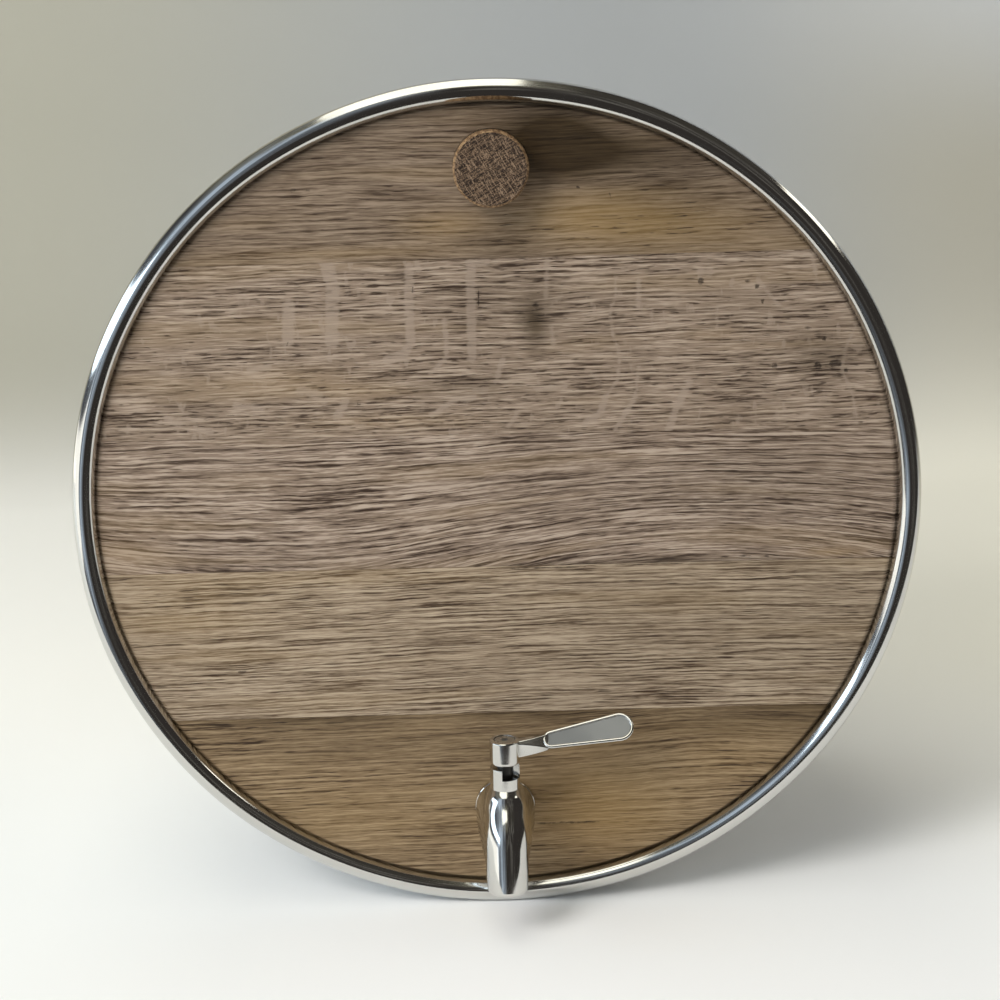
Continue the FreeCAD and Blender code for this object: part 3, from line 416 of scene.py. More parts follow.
def spun_steel(name, colour, roughness):
    """Steel spun about the cask's axis: fine rings that depend only on the distance from it and the depth."""
    f = Finish(name)
    place = f.place()
    split = f.add("SeparateXYZ", {0: place}).outputs
    radius = f.from_axis(split, RIM_R)
    rings_at = f.add("CombineXYZ", {0: f.times(radius, 2600), 1: f.times(split[1], 2600)})
    rings = f.noise(rings_at.outputs[0], detail=3, roughness=0.7)
    cloud = f.noise(place, scale=9, detail=3)
    rough = f.plus(f.remap(cloud, 0.3, 0.7, roughness, roughness + 0.1), f.times(rings, 0.1))
    tone = f.mix(f.remap(rings, 0.3, 0.7), colour, dimmed(colour, 0.86))
    return f.shade(Base_Color=tone, Metallic=1.0, Roughness=rough, Normal=f.bump(rings, 0.00003, 0.6))


def soft(name, colour, roughness):
    """Rubber, silicone or plastic with a fine grit."""
    f = Finish(name)
    place = f.place()
    fine = f.noise(place, scale=900, detail=3)
    cloud = f.noise(place, scale=60, detail=2)
    tone = f.mix(f.remap(cloud, 0.3, 0.7, 0, 0.3), colour, dimmed(colour, 0.75))
    rough = f.remap(fine, 0.3, 0.7, roughness, roughness + 0.1)
    return f.shade(Base_Color=tone, Roughness=rough, Normal=f.bump(fine, 0.00005, 0.5))


STEEL = (0.66, 0.65, 0.62, 1)
steel("rim_steel", STEEL, 0.06, (700, 2400, 700), 0.000004)
steel("tap_steel", STEEL, 0.05, (900, 900, 900), 0.000006)
steel("panel_steel", (0.25, 0.255, 0.26, 1), 0.36, (1500, 1500, 1500), 0.00003)
steel("plain_steel", (0.60, 0.60, 0.59, 1), 0.22, (1800, 500, 500), 0.00001)
# painted shade: a near-black steel for the stainless stem, which sits in deep shade in the stop notch
steel("painted_shade_steel", (0.05, 0.048, 0.045, 1), 0.35, (1800, 500, 500), 0.00001)
spun_steel("vessel_steel", (0.63, 0.63, 0.62, 1), 0.24)
soft("silicone", (0.70, 0.70, 0.66, 1), 0.45)
soft("black_rubber", (0.025, 0.025, 0.025, 1), 0.6)
soft("seat_plastic", (0.86, 0.86, 0.83, 1), 0.35)
oak("oak_1", (147, 128, 109), (119, 101, 84), (68, 52, 38), lines=850, spread=0.15, dashes=0.0, length=1.1,
    ray_colour=(146, 129, 108))
oak("oak_2", (176, 157, 139), (139, 120, 103), (64, 48, 35), lines=860, spread=0.17, dashes=0.8, length=0.9,
    flecks=0.8)
oak("oak_3", (180, 161, 144), (137, 118, 102), (60, 44, 32), lines=820, spread=0.145, dashes=0.5, length=1.5)
oak("oak_4", (181, 162, 139), (146, 127, 106), (80, 62, 45), lines=1050, spread=0.13, dashes=0.2, length=1.5)
oak("oak_5", (163, 140, 110), (133, 111, 84), (78, 59, 40), lines=850, spread=0.155, dashes=0.1, length=1.5)
end_grain("oak_bung")


def dress(obj, finish, body):
    """Gives a piece its finish, a slot of the same name, and the body it rides on."""
    obj.data.materials.clear()
    obj.data.materials.append(finishes[finish])
    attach(obj, body)


# ---------------- oak head

def bell(x, h, at, width):
    """A soft round hill, exp(-((x-a)/u)^2 - ((h-b)/v)^2)."""
    return np.exp(-(((x - at[0]) / width[0]) ** 2) - ((h - at[1]) / width[1]) ** 2)


def hills(x, h, patches):
    """The sum of soft hills, each given as its height, its middle and its half widths."""
    return sum((tall * bell(x, h, at, width) for tall, at, width in patches), np.zeros_like(x))


def near_line(x, h, points, width):
    """1 within width/2 of a line through the points and 0 beyond, with a soft edge.

    The distance to a line of several runs is the least of |p - a - t(b - a)| with t kept between 0 and 1.
    """
    edge = 2.6
    ends = np.array(points, float)
    a, along = ends[:-1], np.diff(ends, axis=0)
    p = np.stack([x, h], -1)[..., None, :]
    t = np.clip(((p - a) * along).sum(-1) / (along**2).sum(-1), 0, 1)
    away = np.linalg.norm(p - a - t[..., None] * along, axis=-1).min(-1)
    return np.clip((width / 2 + edge / 2 - away) / edge, 0, 1)


# pale rays: the line that each follows and its width
TOP_RAYS = (([(-55, 157), (-40, 157.5), (-28, 161)], 1.4),)
RAYS = (
    ([(-72, 112), (-69.5, 102), (-70.4, 91), (-71, 78)], 6.5), ([(-64, 109), (-63.2, 98)], 1.7),
    ([(-89, 95), (-90.3, 79)], 6.0),
    ([(-36, 110), (-36.8, 93), (-36.4, 77), (-39.2, 72.7), (-47, 70)], 4.8),
    ([(-9.5, 112), (-9.7, 88), (-9.7, 70)], 4.8), ([(-7.1, 77), (-5.5, 70)], 1.4),
    ([(-21.4, 87), (-21, 70.5), (-28.5, 63)], 2.6), ([(23.7, 112), (23, 95.5)], 2.6),
    ([(25, 83), (26, 75)], 2.6), ([(3.7, 69), (0.5, 59)], 3.0),
    ([(-86, 57), (-81, 56), (-75.6, 52.5)], 4.5), ([(-66, 52), (-70.4, 44)], 4.0),
    ([(-17, 51.6), (-28, 45)], 3.2), ([(-9.3, 55.4), (-4, 55.3)], 2.6),
    ([(-14.7, 50.6), (-9.4, 52.3)], 3.0), ([(9.5, 45), (5.7, 39)], 2.8), ([(-8, 112), (-2.8, 111.4)], 3.5),
    ([(-32.7, 112.5), (-32.4, 109)], 3.5),
    ([(53.3, 104), (53.6, 95.5), (50.9, 90), (52.2, 78.4), (55.1, 70.6), (54.3, 59), (49.2, 51.4)], 1.5),
    ([(49.2, 51.4), (46.2, 43.5), (39, 39)], 3.5), ([(63.6, 102), (63.2, 90)], 2.6),
    ([(69.3, 89.6), (69.3, 81)], 1.4), ([(63.6, 64.5), (61.7, 50)], 1.5), ([(61.7, 50), (53.3, 36.5)], 3.0),
    ([(86, 57), (80.4, 46), (76.6, 35)], 3.7), ([(97.8, 90), (97.8, 80)], 1.3),
    ([(116.7, 100), (125, 90)], 1.8), ([(89.8, 105.4), (95, 105)], 3.2),
    ([(159, 80.7), (154.4, 70), (153.3, 60.6), (158.4, 49), (160.6, 37)], 1.8),
    ([(138.7, 112.6), (141.3, 101)], 1.7), ([(127.4, 47), (128.4, 42.7)], 1.5),
    ([(-132.7, 41), (-126, 39)], 3.2), ([(-114.5, 51), (-103, 49.5)], 3.2),
    ([(-107.5, 66), (-99.5, 67.4)], 3.6), ([(-145.6, 46), (-139.6, 43)], 3.0),
    ([(-69, 39.7), (-58, 41)], 2.4), ([(18, 55), (31, 56.3)], 2.4), ([(42, 62), (46.3, 58.6)], 2.4),
)

# dark and golden patches by board: strength, middle and half widths; some dark ones are painted shadow
STAINS_AND_SHADOWS = {
    1: [
        # painted shadow: the first three patches, right of and above the bung
        (1.5, (26, 161), (21, 14)), (0.6, (52, 158), (26, 10)), (0.35, (30, 180), (60, 9)),
        # painted shadow under the bung: the patch at (5, 121)
        (0.45, (88, 158), (32, 13)), (0.35, (5, 121), (16, 9)), (0.3, (76, 136), (34, 16)),
        (0.15, (-60, 165), (70, 12)),
    ],
    2: [
        (0.75, (18, 84), (6, 11)), (0.45, (146, 66), (16, 10)), (0.25, (10, 95), (30, 12)),
        (0.25, (-12, 57), (26, 5)),
    ],
    3: [(0.55, (70, -26), (75, 2.2)), (0.2, (120, 10), (50, 14))],
    4: [(0.12, (60, -60), (70, 25)), (0.14, (140, -60), (50, 40))],
    # painted shadow below and right of the tap: the patch at (60, -178)
    5: [(0.25, (0, -112), (120, 7)), (0.12, (60, -178), (70, 7))],
}
GOLD = {
    1: [
        (1.0, (48, 130), (36, 11)), (0.6, (-20, 128), (18, 6)), (0.35, (-60, 117), (60, 3)),
        (0.5, (90, 125), (40, 10)),
    ],
    2: [
        (0.35, (-90, 62), (26, 5)), (0.35, (-60, 56), (22, 4)), (0.25, (96, 78), (14, 3)),
        (0.3, (-50, 42), (40, 3)),
    ],
    3: [(0.6, (152, -23), (16, 2.5)), (0.3, (-170, -18), (24, 12))],
    4: [(0.3, (-140, -40), (40, 25)), (0.25, (-60, -30), (60, 4))],
    5: [(0.95, (44, -145), (40, 24)), (0.35, (-75, -145), (60, 18)), (0.3, (110, -120), (30, 14))],
}

# small dark knots and checks: x, h, half length along the grain, half height
SPECKS = np.array([
    (90.7, 101.4, 1.6, 2.0), (111, 101, 1.5, 1.2), (115.2, 98.4, 1.5, 1.4), (117.7, 92.2, 1.0, 1.2),
    (137.9, 79.7, 1.8, 1.2), (145.2, 74.8, 1.2, 1.2), (142.6, 62.7, 2.0, 2.2), (150.3, 63.6, 3.2, 2.2),
    (123.5, 63.2, 1.6, 1.8), (155.1, 60.6, 1.2, 1.2), (18.4, 92.3, 1.7, 1.2), (-34.8, 100.3, 0.8, 1.6),
    (-90.4, 78, 0.9, 1.1), (-60.5, 50.3, 1.2, 0.9), (-118.2, -73.5, 2.6, 1.0), (111.5, -23.8, 4.0, 0.9),
    (102.4, -24.0, 2.2, 0.8), (121.5, -24.4, 3.0, 0.7), (37.5, 143.2, 0.8, 0.8), (143.6, 36.3, 5.0, 0.5),
    (-6.2, 95.5, 0.35, 5.0), (51.2, 139, 0.3, 2.6), (28.0, -152.2, 17.0, 0.35), (56.5, -147.8, 12.0, 0.3),
    (-82, 144.1, 12.0, 0.35), (-43, 143.5, 13.0, 0.25), (96, 146.1, 10.0, 0.3), (20, -27.2, 30.0, 0.35),
    (70, -26.6, 22.0, 0.3),
])


def grain_lines(x, h, number):
    """The height that a grain line would have if it ran straight: equal values trace the real line."""
    if number == 3:
        # a long wave, -cos(2 pi (x + 88) / 358), low at x = -88 and high at x = 91, steeper lower down
        lift = -np.cos(2 * np.pi * (x + 88) / 358) * (2.5 + 8.5 * np.clip((30 - h) / 55, 0, 1.1))
        return h - lift + 5.0 * bell(x, h, (-190, 0), (60, 60))
    if number == 2:
        return h - 0.010 * x - 1.8 * bell(x, h, (150, 62), (26, 12)) + 1.2 * bell(x, h, (20, 88), (22, 10))
    if number == 1:
        return h - 0.028 * x * (x > 0) - 1.5 * bell(x, h, (-60, 155), (40, 12))
    if number == 4:
        return h - 0.012 * x - 1.5 * np.sin((x + 60) / 62)
    return h - 0.02 * x - 4.5 * bell(x, h, (85, -108), (45, 22))


def oak_values(x, h, depth, number):
    """The surface's own values for the oak's finish, at head measures x, h and depth."""
    grain = np.stack([x + 900 * number, grain_lines(x, h, number) + 333 * number, depth], -1) / 1000
    ray = np.zeros_like(x)
    for points, width in {1: TOP_RAYS, 2: RAYS}.get(number, ()):
        ray = np.maximum(ray, near_line(x, h, points, width))
    if number == 1:
        ray = 0.5 * ray
    # dark patches: real stains, and painted shadow by the bung and the tap
    stain_and_shadow, gold = hills(x, h, STAINS_AND_SHADOWS[number]), hills(x, h, GOLD[number])
    if number == 5:
        # darkest under its upper joint, in waves along it, and under the fourth board at the right
        top = JOINTS[3].mean() + (JOINTS[3, 1] - JOINTS[3, 0]) * x / (2 * RIM_R)
        stain_and_shadow += 0.75 * np.exp(-np.clip(top - h, 0, None) / 7) * (0.75 + 0.25 * np.sin(x / 19))
        stain_and_shadow += 0.3 * np.clip(x / 60 + 0.2, 0, 1) * bell(x, h, (95, -104), (70, 6))
    p = np.stack([x, h], -1)[..., None, :]
    away = (((p - SPECKS[:, :2]) / SPECKS[:, 2:]) ** 2).sum(-1).min(-1)
    speck = np.clip(1.4 - away, 0, 1) * 0.85
    shares = {"ray": ray, "stain_and_shadow": stain_and_shadow, "gold": gold, "speck": speck}
    return [("grain", "FLOAT_VECTOR", grain)] + [
        (name, "FLOAT", np.clip(share, 0, 1)) for name, share in shares.items()]


def chord(slope, at, radius):
    """Where the line h = at + slope x meets a circle: the roots of a quadratic, or one place twice."""
    a, b, c = 1 + slope**2, slope * at, at**2 - radius**2
    root = np.sqrt(np.clip(b**2 - a * c, 0, None))
    return (-b - root) / a, (-b + root) / a


def make_board(number, hole=None):
    """An oak board as one closed shell.

    Rows run from joint to joint and columns from rim to rim, with columns kept on the circle where the
    bevel starts. The depth is the flat face, eased at the joints by r - sqrt(r^2 - (r - d)^2), a quarter
    round, and bevelled by the distance past the bevel's circle. Where there is a hole, the grid is drawn out
    so that a block of it becomes the round hole: a point at square distance m from the block's middle moves
    to radius R m in its own direction, all the way at m = 1 and not at all at m = 2.2.
    """
    top = JOINTS[number - 2] if number > 1 else np.array([HEAD_R, HEAD_R])
    low = JOINTS[number - 1] if number < 5 else np.array([-HEAD_R, -HEAD_R])
    tall = float((top - low).mean())
    s = np.linspace(0, 1, int(tall / 1.05) + 1)
    s = {1: 1 - (1 - s) ** 2, 5: s**2}.get(number, s)
    ease = np.array([0.08, 0.17, 0.3, 0.6]) / tall
    s = np.unique(np.concatenate([s, ease if number < 5 else [], 1 - ease if number > 1 else []]))
    left = (low[0] + (top[0] - low[0]) * s)[:, None]
    right = (low[1] + (top[1] - low[1]) * s)[:, None]
    slope, at = (right - left) / (2 * RIM_R), (left + right) / 2
    outer, inner = chord(slope, at, HEAD_R), chord(slope, at, FACE_R)
    ring = np.linspace(0, 1, 7)[None, :-1]
    flat = np.linspace(0, 1, 330)[None, :]
    x = np.concatenate([
        outer[0] + (inner[0] - outer[0]) * ring, inner[0] + (inner[1] - inner[0]) * flat,
        (inner[1] + (outer[1] - inner[1]) * ring[:, ::-1] + (outer[1] - inner[1]) / 6),
    ], 1)
    h = at + slope * x
    rows, columns = x.shape
    keep = np.ones((rows - 1, columns - 1), bool)
    block = None
    if hole:
        cx, ch, radius = hole
        j = np.abs(x[np.abs(h[:, columns // 2] - ch).argmin()] - cx).argmin()
        i = np.abs(h[:, j] - ch).argmin()
        half_i = int(round(radius / np.abs(h[i + 1, j] - h[i, j])))
        half_j = int(round(radius / (x[i, j + 1] - x[i, j])))
        b = (np.arange(rows)[:, None] - i) / half_i + 0 * x
        a = (np.arange(columns)[None, :] - j) / half_j + 0 * x
        m = np.maximum(np.abs(a), np.abs(b))
        away = np.maximum(np.hypot(a, b), 1e-9)
        share = np.clip((2.2 - m) / 1.2, 0, 1)
        share = share * share * (3 - 2 * share)
        x = x + share * (cx + radius * np.maximum(m, 1) * a / away - x)
        h = h + share * (ch + radius * np.maximum(m, 1) * b / away - h)
        keep[i - half_i:i + half_i, j - half_j:j + half_j] = False
        block = (i - half_i, i + half_i, j - half_j, j + half_j)
    r = np.hypot(x, h)
    to_joint = np.full_like(x, np.inf)
    if number > 1:
        to_joint = np.minimum(to_joint, (1 - s)[:, None] * (top[0] - low[0]) + 0 * x)
    if number < 5:
        to_joint = np.minimum(to_joint, s[:, None] * (top[0] - low[0]) + 0 * x)
    short = np.clip(EASE - to_joint, 0, EASE)
    front = FACE_DEPTH + np.maximum(r - FACE_R, 0) + EASE - np.sqrt(EASE**2 - short**2)
    back = HEAD_BACK - np.maximum(r - (HEAD_R - BACK_BEVEL), 0)
    index = np.arange(rows * columns).reshape(rows, columns)
    quads = grid_faces(rows, columns)[keep.ravel()]
    count = rows * columns

    def wall(loop):
        """Faces between a closed loop on the front and the same loop on the back."""
        on = np.roll(loop, -1)
        return np.stack([loop, on, on + count, loop + count], 1)

    def around(i0, i1, j0, j1):
        """The loop of points round a block of the grid."""
        return np.concatenate([index[i0, j0:j1], index[i0:i1, j1], index[i1, j1:j0:-1], index[i1:i0:-1, j0]])

    faces = [quads, quads[:, ::-1] + count, wall(around(0, rows - 1, 0, columns - 1))]
    if block:
        faces.append(wall(around(*block)))
    used = np.concatenate(faces)
    both_x, both_h = np.concatenate([x.ravel()] * 2), np.concatenate([h.ravel()] * 2)
    depth = np.concatenate([front.ravel(), back.ravel()])
    needed = np.unique(used)
    renumber = np.zeros(2 * count, int)
    renumber[needed] = np.arange(len(needed))
    both_x, both_h, depth = both_x[needed], both_h[needed], depth[needed]
    values = oak_values(both_x, both_h, depth, number)
    obj = make_mesh(f"oak_board_{number}", on_head(both_x, both_h, depth), renumber[used].tolist(), values)
    smooth_but_sharp(obj, 50)
    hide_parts(f"head_board_{number}")
    dress(obj, f"oak_{number}", "cask")


HOLES = {1: (0.0, BUNG_H, BUNG_HOLE_R), 5: (TAP_AT[0], TAP_AT[2] - RIM_R, SHANK_R + 0.3)}
for number in range(1, 6):
    make_board(number, HOLES.get(number))


def make_bung():
    """The turned bung: a tapered plug. Its outer part is uneven, r (1 + 0.004 cos(3a + 1) + 0.003 cos 7a).

    The growth is kept to 1.003, so that the plug stays inside its hole.
    """
    profile = eased([
        (0, -13.3, 0), (15.2, -13.3, 0.3), (16.2, -12.2, 0.4), (16.2, -3.3, 0.8), (14.4, 25.7, 0.8),
        (0, 25.7, 0),
    ])
    points = turned(dense(profile, 1.2), 144)
    a = np.linspace(0, 2 * np.pi, 145)
    outside = np.clip((-4 - points[..., 2]) / 6, 0, 1)
    uneven = 1 + outside * (0.004 * np.cos(3 * a + 1) + 0.003 * np.cos(7 * a))
    points[..., :2] *= np.minimum(uneven, 1.003)[..., None]
    points = lay_back(points)
    obj = skin("oak_bung", on_head(points[..., 0], points[..., 2] + BUNG_H, points[..., 1]))
    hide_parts("bung")
    dress(obj, "oak_bung", "bung_plug")


make_bung()


# ---------------- rim

def make_rim():
    """The rolled bead: an open roll of sheet carried round the head, with shallow dents from handling.

    Round the section the outer face runs from one side of the slot to the other and the inner face comes
    back. The section's radius is 5 mm less the dents, each up to 0.075 mm deep and a few degrees long, low
    down where the cask is set down. The bead's own radius ripples by 0.0008 cos(5 phi + 0.6) and
    0.0006 cos 11 phi of itself, but never grows past the bead's outside.
    """
    wall = 1.0
    slot_low, slot_high = np.arcsin(0.999), np.arccos(-SHEET / BEAD)
    a = np.linspace(slot_high, 2 * np.pi + slot_low - 0.06, 61)
    outside = np.stack([np.cos(a), np.sin(a)], 1) * BEAD
    inside = np.stack([np.cos(a[::-1]), np.sin(a[::-1])], 1) * (BEAD - wall)
    section = np.concatenate([outside, inside, outside[:1]])
    phi = np.linspace(0, 2 * np.pi, 721)[:, None]
    dents = np.radians(np.array([253.0, 264.0, 275.0, 299.0]))[None, :]
    dip = (0.30 * np.exp(-(((phi - dents) / np.radians(0.9)) ** 2))).sum(1, keepdims=True)
    lean = np.clip(section[None, :, 0] / BEAD, 0, 1)
    grow = 1 - 0.05 * dip * lean
    ripple = 1 + 0.0008 * np.cos(5 * phi + 0.6) + 0.0006 * np.cos(11 * phi)
    out = BEAD_R + section[None, :, 0] * grow
    out = np.minimum(out * ripple, BEAD_R + BEAD)
    points = on_head(out * np.cos(phi), out * np.sin(phi), section[None, :, 1] * grow + 0 * phi)
    obj = skin("rolled_rim", points)
    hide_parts("rim_ring")
    dress(obj, "rim_steel", "cask")


make_rim()


# ---------------- tap

def through(knots, shares):
    """Smooth values through each column of knots: natural cubic splines of the distance run by the first two.

    The bends m solve h0 m0 + 2 (h0 + h1) m1 + h1 m2 = 6 (d1 - d0), with h the steps between knots and d the
    slopes.
    """
    knots = np.array(knots, float)
    step = np.linalg.norm(np.diff(knots[:, :2], axis=0), axis=1)
    run = np.concatenate([[0], np.cumsum(step)])
    slope = np.diff(knots, axis=0) / step[:, None]
    system, right = np.eye(len(knots)), np.zeros_like(knots)
    for i in range(1, len(knots) - 1):
        system[i, i - 1:i + 2] = step[i - 1], 2 * (step[i - 1] + step[i]), step[i]
        right[i] = 6 * (slope[i] - slope[i - 1])
    bend = np.linalg.solve(system, right)
    t = run[-1] * np.asarray(shares)
    k = np.clip(np.searchsorted(run, t) - 1, 0, len(step) - 1)
    a, b, h = (run[k + 1] - t)[:, None], (t - run[k])[:, None], step[k][:, None]
    ends = (knots[k] / h - bend[k] * h / 6) * a + (knots[k + 1] / h - bend[k + 1] * h / 6) * b
    return ends + (bend[k] * a**3 + bend[k + 1] * b**3) / (6 * h)


def close_ends(points):
    """Draws the first and last rows together to their middles."""
    first = np.broadcast_to(points[:1, :-1].mean(1, keepdims=True), points[:1].shape)
    last = np.broadcast_to(points[-1:, :-1].mean(1, keepdims=True), points[-1:].shape)
    return np.concatenate([first, points, last])


def swelling(name, knots, shares, lip=0.0):
    """A casting of round sections that dip forward, through knots of (reach, height, dip in degrees, radius).

    Near the end the radius shrinks by lip (1 - sqrt(1 - (1 - s)^2)), s being the height above the end over
    lip.
    """
    reach, height, dip, radius = through(knots, shares).T
    if lip:
        radius = radius - lip * (1 - np.sqrt(1 - (1 - np.clip((height - height[-1]) / lip, 0, 1)) ** 2))
    dip = np.radians(dip)
    path = np.stack([0 * reach, -reach, height], 1)
    side = np.stack([0 * reach, -np.sin(dip), np.cos(dip)], 1)
    return skin(name, on_tap(close_ends(carried(path, side, radius, 128))))


def make_tap():
    """The tap's casting: shank, flange and swelling bell; neck; drooping spout; passages and stop notch."""
    shank = eased([
        (0, 12, 0), (7, 12, 0), (7, FLANGE_FRONT, 0), (13.6, FLANGE_FRONT, 0), (13.9, 20.7, 0.2),
        (13.9, FLANGE_BACK, 0.2),
        (SHANK_R, FLANGE_BACK, 0.1), (SHANK_R, SHANK_END - 1, 0.2), (SHANK_R - 1, SHANK_END, 0.2),
        (0, SHANK_END, 0),
    ])
    body = skin("tap_casting", on_tap(lay_back(turned(dense(shank, 1.0)))))
    flare = swelling("flare", [
        (-21.0, 0, 0, 13.6), (-10, -1.4, 16, 13.4), (0, -5, 38, 12.2), (10, -14, 62, 9.6),
    ], np.linspace(0, 1, 60))
    neck = eased([(0, 0, 0), (NECK_R, 0, 0), (NECK_R, NECK_TOP, 0.35), (0, NECK_TOP, 0)])
    neck = turned_on_tap("neck", dense(neck, 0.8))
    spout = swelling("spout", [
        (0, 19, 90, 6.7), (0.3, 16.4, 78, 7.9), (4.5, 5.6, 47, 10.0), (8.8, -0.55, 62, 10.1),
        (12.0, -8.5, 71, 9.8),
        (14.4, -16.3, 77, 9.5), (16.6, -24.6, 85, 8.9),
    ], np.concatenate([np.linspace(0, 0.95, 90), np.linspace(0.955, 1, 18)]), 1.6)
    bend = np.radians(np.linspace(0, PASSAGE_TURN, 30))
    # the passage: dip, y and height of its middle, from the ball round a bend and on to the outlet
    way = [(0, 4, 0), (0, 0, 0)] + [(a, -1 - BEND_R * math.sin(a), BEND_R * (math.cos(a) - 1)) for a in bend]
    dip, y, z = np.array(way + [(bend[-1], -SPOUT_AHEAD, -16.5)]).T
    path = np.stack([0 * dip, y, z], 1)
    side = np.stack([0 * dip, -np.sin(dip), np.cos(dip)], 1)
    passage = skin("passage", on_tap(close_ends(carried(path, side, np.full(len(path), PASSAGE_R)))))
    outlet = np.array([(0, -27), (5.4, -27), (5.4, -15.6), (0, -15.6)])
    outlet = skin("outlet", on_tap(turned(outlet, 96) + np.array([0, -SPOUT_AHEAD, 0])))
    chamber = np.array([(0, -7.5), (6.3, -7.5), (6.3, SHANK_END + 1), (0, SHANK_END + 1)])
    chamber = skin("chamber", on_tap(lay_back(turned(chamber, 96))))
    stem = turned_on_tap("stem_bore", [(0, 0), (4.45, 0), (4.45, 8.0), (3.55, 8.0), (3.55, 31), (0, 31)], 96)
    # the stop notch runs past the lug's own 11 degrees by 1 degree at both ends of the quarter turn
    notch = sector("notch", 24.1, 34, 0, 9, -102, 12, 60)
    combine(body, [flare, neck, spout], "UNION")
    combine(body, [passage, outlet, chamber, stem, notch], "DIFFERENCE")
    smooth_but_sharp(body, 32)
    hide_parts("tap_body")
    dress(body, "tap_steel", "cask")


make_tap()


def stadium(inset, around=96):
    """The paddle's outline, set in by inset: two round ends of radius 4.2 and 6.6 and their common tangents.

    Both arcs are drawn from the same centres, so the outlines stay parallel up to an inset of 2; from there
    to 3 the outline closes evenly on the line between the centres.
    """
    length, r1, r2 = 41.6, 4.2, 6.6
    x1, x2 = r1, length - r2
    lean = math.acos((r1 - r2) / (x2 - x1))
    a = np.concatenate([np.linspace(lean, 2 * np.pi - lean, around), np.linspace(-lean, lean, around)])
    far = np.repeat([0.0, 1.0], around)
    straight = np.linspace(0, 1, 40)[1:-1]

    def between(k0, k1):
        angle = a[k0] % (2 * np.pi)
        share = far[k0] + (far[k1] - far[k0]) * straight
        return np.full(len(straight), angle), share

    a1, f1 = between(around - 1, around)
    a2, f2 = between(2 * around - 1, 0)
    angle = np.concatenate([a[:around], a1, a[around:], a2, a[:1]])
    share = np.concatenate([far[:around], f1, far[around:], f2, far[:1]])
    radius = r1 + (r2 - r1) * share
    middle = x1 + (x2 - x1) * share
    reach = np.where(inset <= 2, radius - inset, (radius - 2) * (1 - (inset - 2)))
    return middle + reach * np.cos(angle), reach * np.sin(angle)


def make_lever():
    """Hub, stop lug, arm and paddle in one casting, with the square drive and the screw's hole cut in.

    The paddle lies at PADDLE_AT, turned down about x by its tilt and up about y by its rise. The faces of
    its sunk panel get the panel's finish.
    """
    hub = eased([
        (0, HUB_LOW, 0), (HUB_R, HUB_LOW, 1.6), (HUB_R, HUB_HIGH - 0.5, 0.25), (HUB_R - 0.5, HUB_HIGH, 0.25),
        (4.9, HUB_HIGH, 0.15), (4.9, 39.9, 0.1), (0, 39.9, 0),
    ])
    hub = turned_on_tap("lever_casting", dense(hub, 0.8))
    # paddle: rows of (inset, height) from the middle of the back round the edge to the middle of the panel
    rows = eased([
        (3.0, -1.5, 0), (0.0, -1.5, 0.8), (0.0, 1.5, 0.8), (1.25, 1.5, 0.22), (1.55, PANEL_HEIGHT, 0.12),
        (3.0, PANEL_HEIGHT, 0),
    ], 6)
    outline = [stadium(inset) for inset in rows[:, 0]]
    local = np.stack([np.stack([x, y, np.full_like(x, z)], -1) for (x, y), z in zip(outline, rows[:, 1])])
    rise, tilt = math.radians(9.8), math.radians(50)
    turn = np.array(Matrix.Rotation(-rise, 3, "Y") @ Matrix.Rotation(tilt, 3, "X"))
    paddle = skin("paddle", on_tap(local @ turn.T + PADDLE_AT))
    # arm: a section of five rounded corners that goes from one shape to the other along x; its upper front
    # face widens as its lower one narrows, so the edge between them falls with the square of the distance
    at_hub = eased([
        (2.4, 37, 0), (2.4, 41.2, 0.6), (-2.2, 41.2, 0.3), (-2.7, 40.6, 0.3), (-2.6, 33.2, 0.8),
        (2.4, 33.2, 0.8),
        (2.4, 37, 0),
    ])
    at_paddle = eased([
        (2.8, 41.5, 0), (3.4, 42.9, 0.3), (0.9, 43.8, 0.3), (-2.9, 37.95, 0.3), (-1.6, 36.9, 0.3),
        (-0.9, 37.3, 0.3),
        (2.8, 41.5, 0),
    ])
    t = np.linspace(0, 1, 40)[:, None, None]
    share = np.concatenate([0.35 * t + 0.65 * t * t, 0.5 * t + 0.5 * t * t], -1)
    section = at_hub + (at_paddle - at_hub) * share
    arm = np.concatenate([3.5 + 16.5 * t + 0 * section[..., :1], section], -1)
    arm = skin("arm", on_tap(close_ends(arm)))
    lug = sector("lug", 25, 33.4, 3.9, 6.3, -11, 11, 24)
    square = np.array([(-2.1, -2.1), (2.1, -2.1), (2.1, 2.1), (-2.1, 2.1), (-2.1, -2.1)])
    levels = np.array([(0, 24), (1, 24), (1, 38.4), (0, 38.4)])
    grown, z = levels[:, 0, None], levels[:, 1, None]
    drive = np.stack([grown * square[:, 0], grown * square[:, 1], z + 0 * square[:, 0]], -1)
    drive = skin("drive", on_tap(drive))
    pin = turned_on_tap("pin", [(0, 36), (1.65, 36), (1.65, 41), (0, 41)], 48)
    combine(hub, [arm, paddle, lug], "UNION")
    combine(hub, [drive, pin], "DIFFERENCE")
    smooth_but_sharp(hub, 32)
    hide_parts("tap_lever")
    dress(hub, "tap_steel", "lever")
    hub.data.materials.append(finishes["panel_steel"])
    count = len(hub.data.polygons)
    middle, normal = np.empty(count * 3), np.empty(count * 3)
    hub.data.polygons.foreach_get("center", middle)
    hub.data.polygons.foreach_get("normal", normal)
    flat = (middle.reshape(-1, 3) * 1000 - TAP_AT - PADDLE_AT) @ turn
    facing = normal.reshape(-1, 3) @ turn
    panel = (np.abs(flat[:, 2] - PANEL_HEIGHT) < 0.06) & (facing[:, 2] > 0.95) & (flat[:, 0] > 1)
    hub.data.polygons.foreach_set("material_index", panel.astype(np.int32))


make_lever()


# ---------------- nodes that keep their own shape

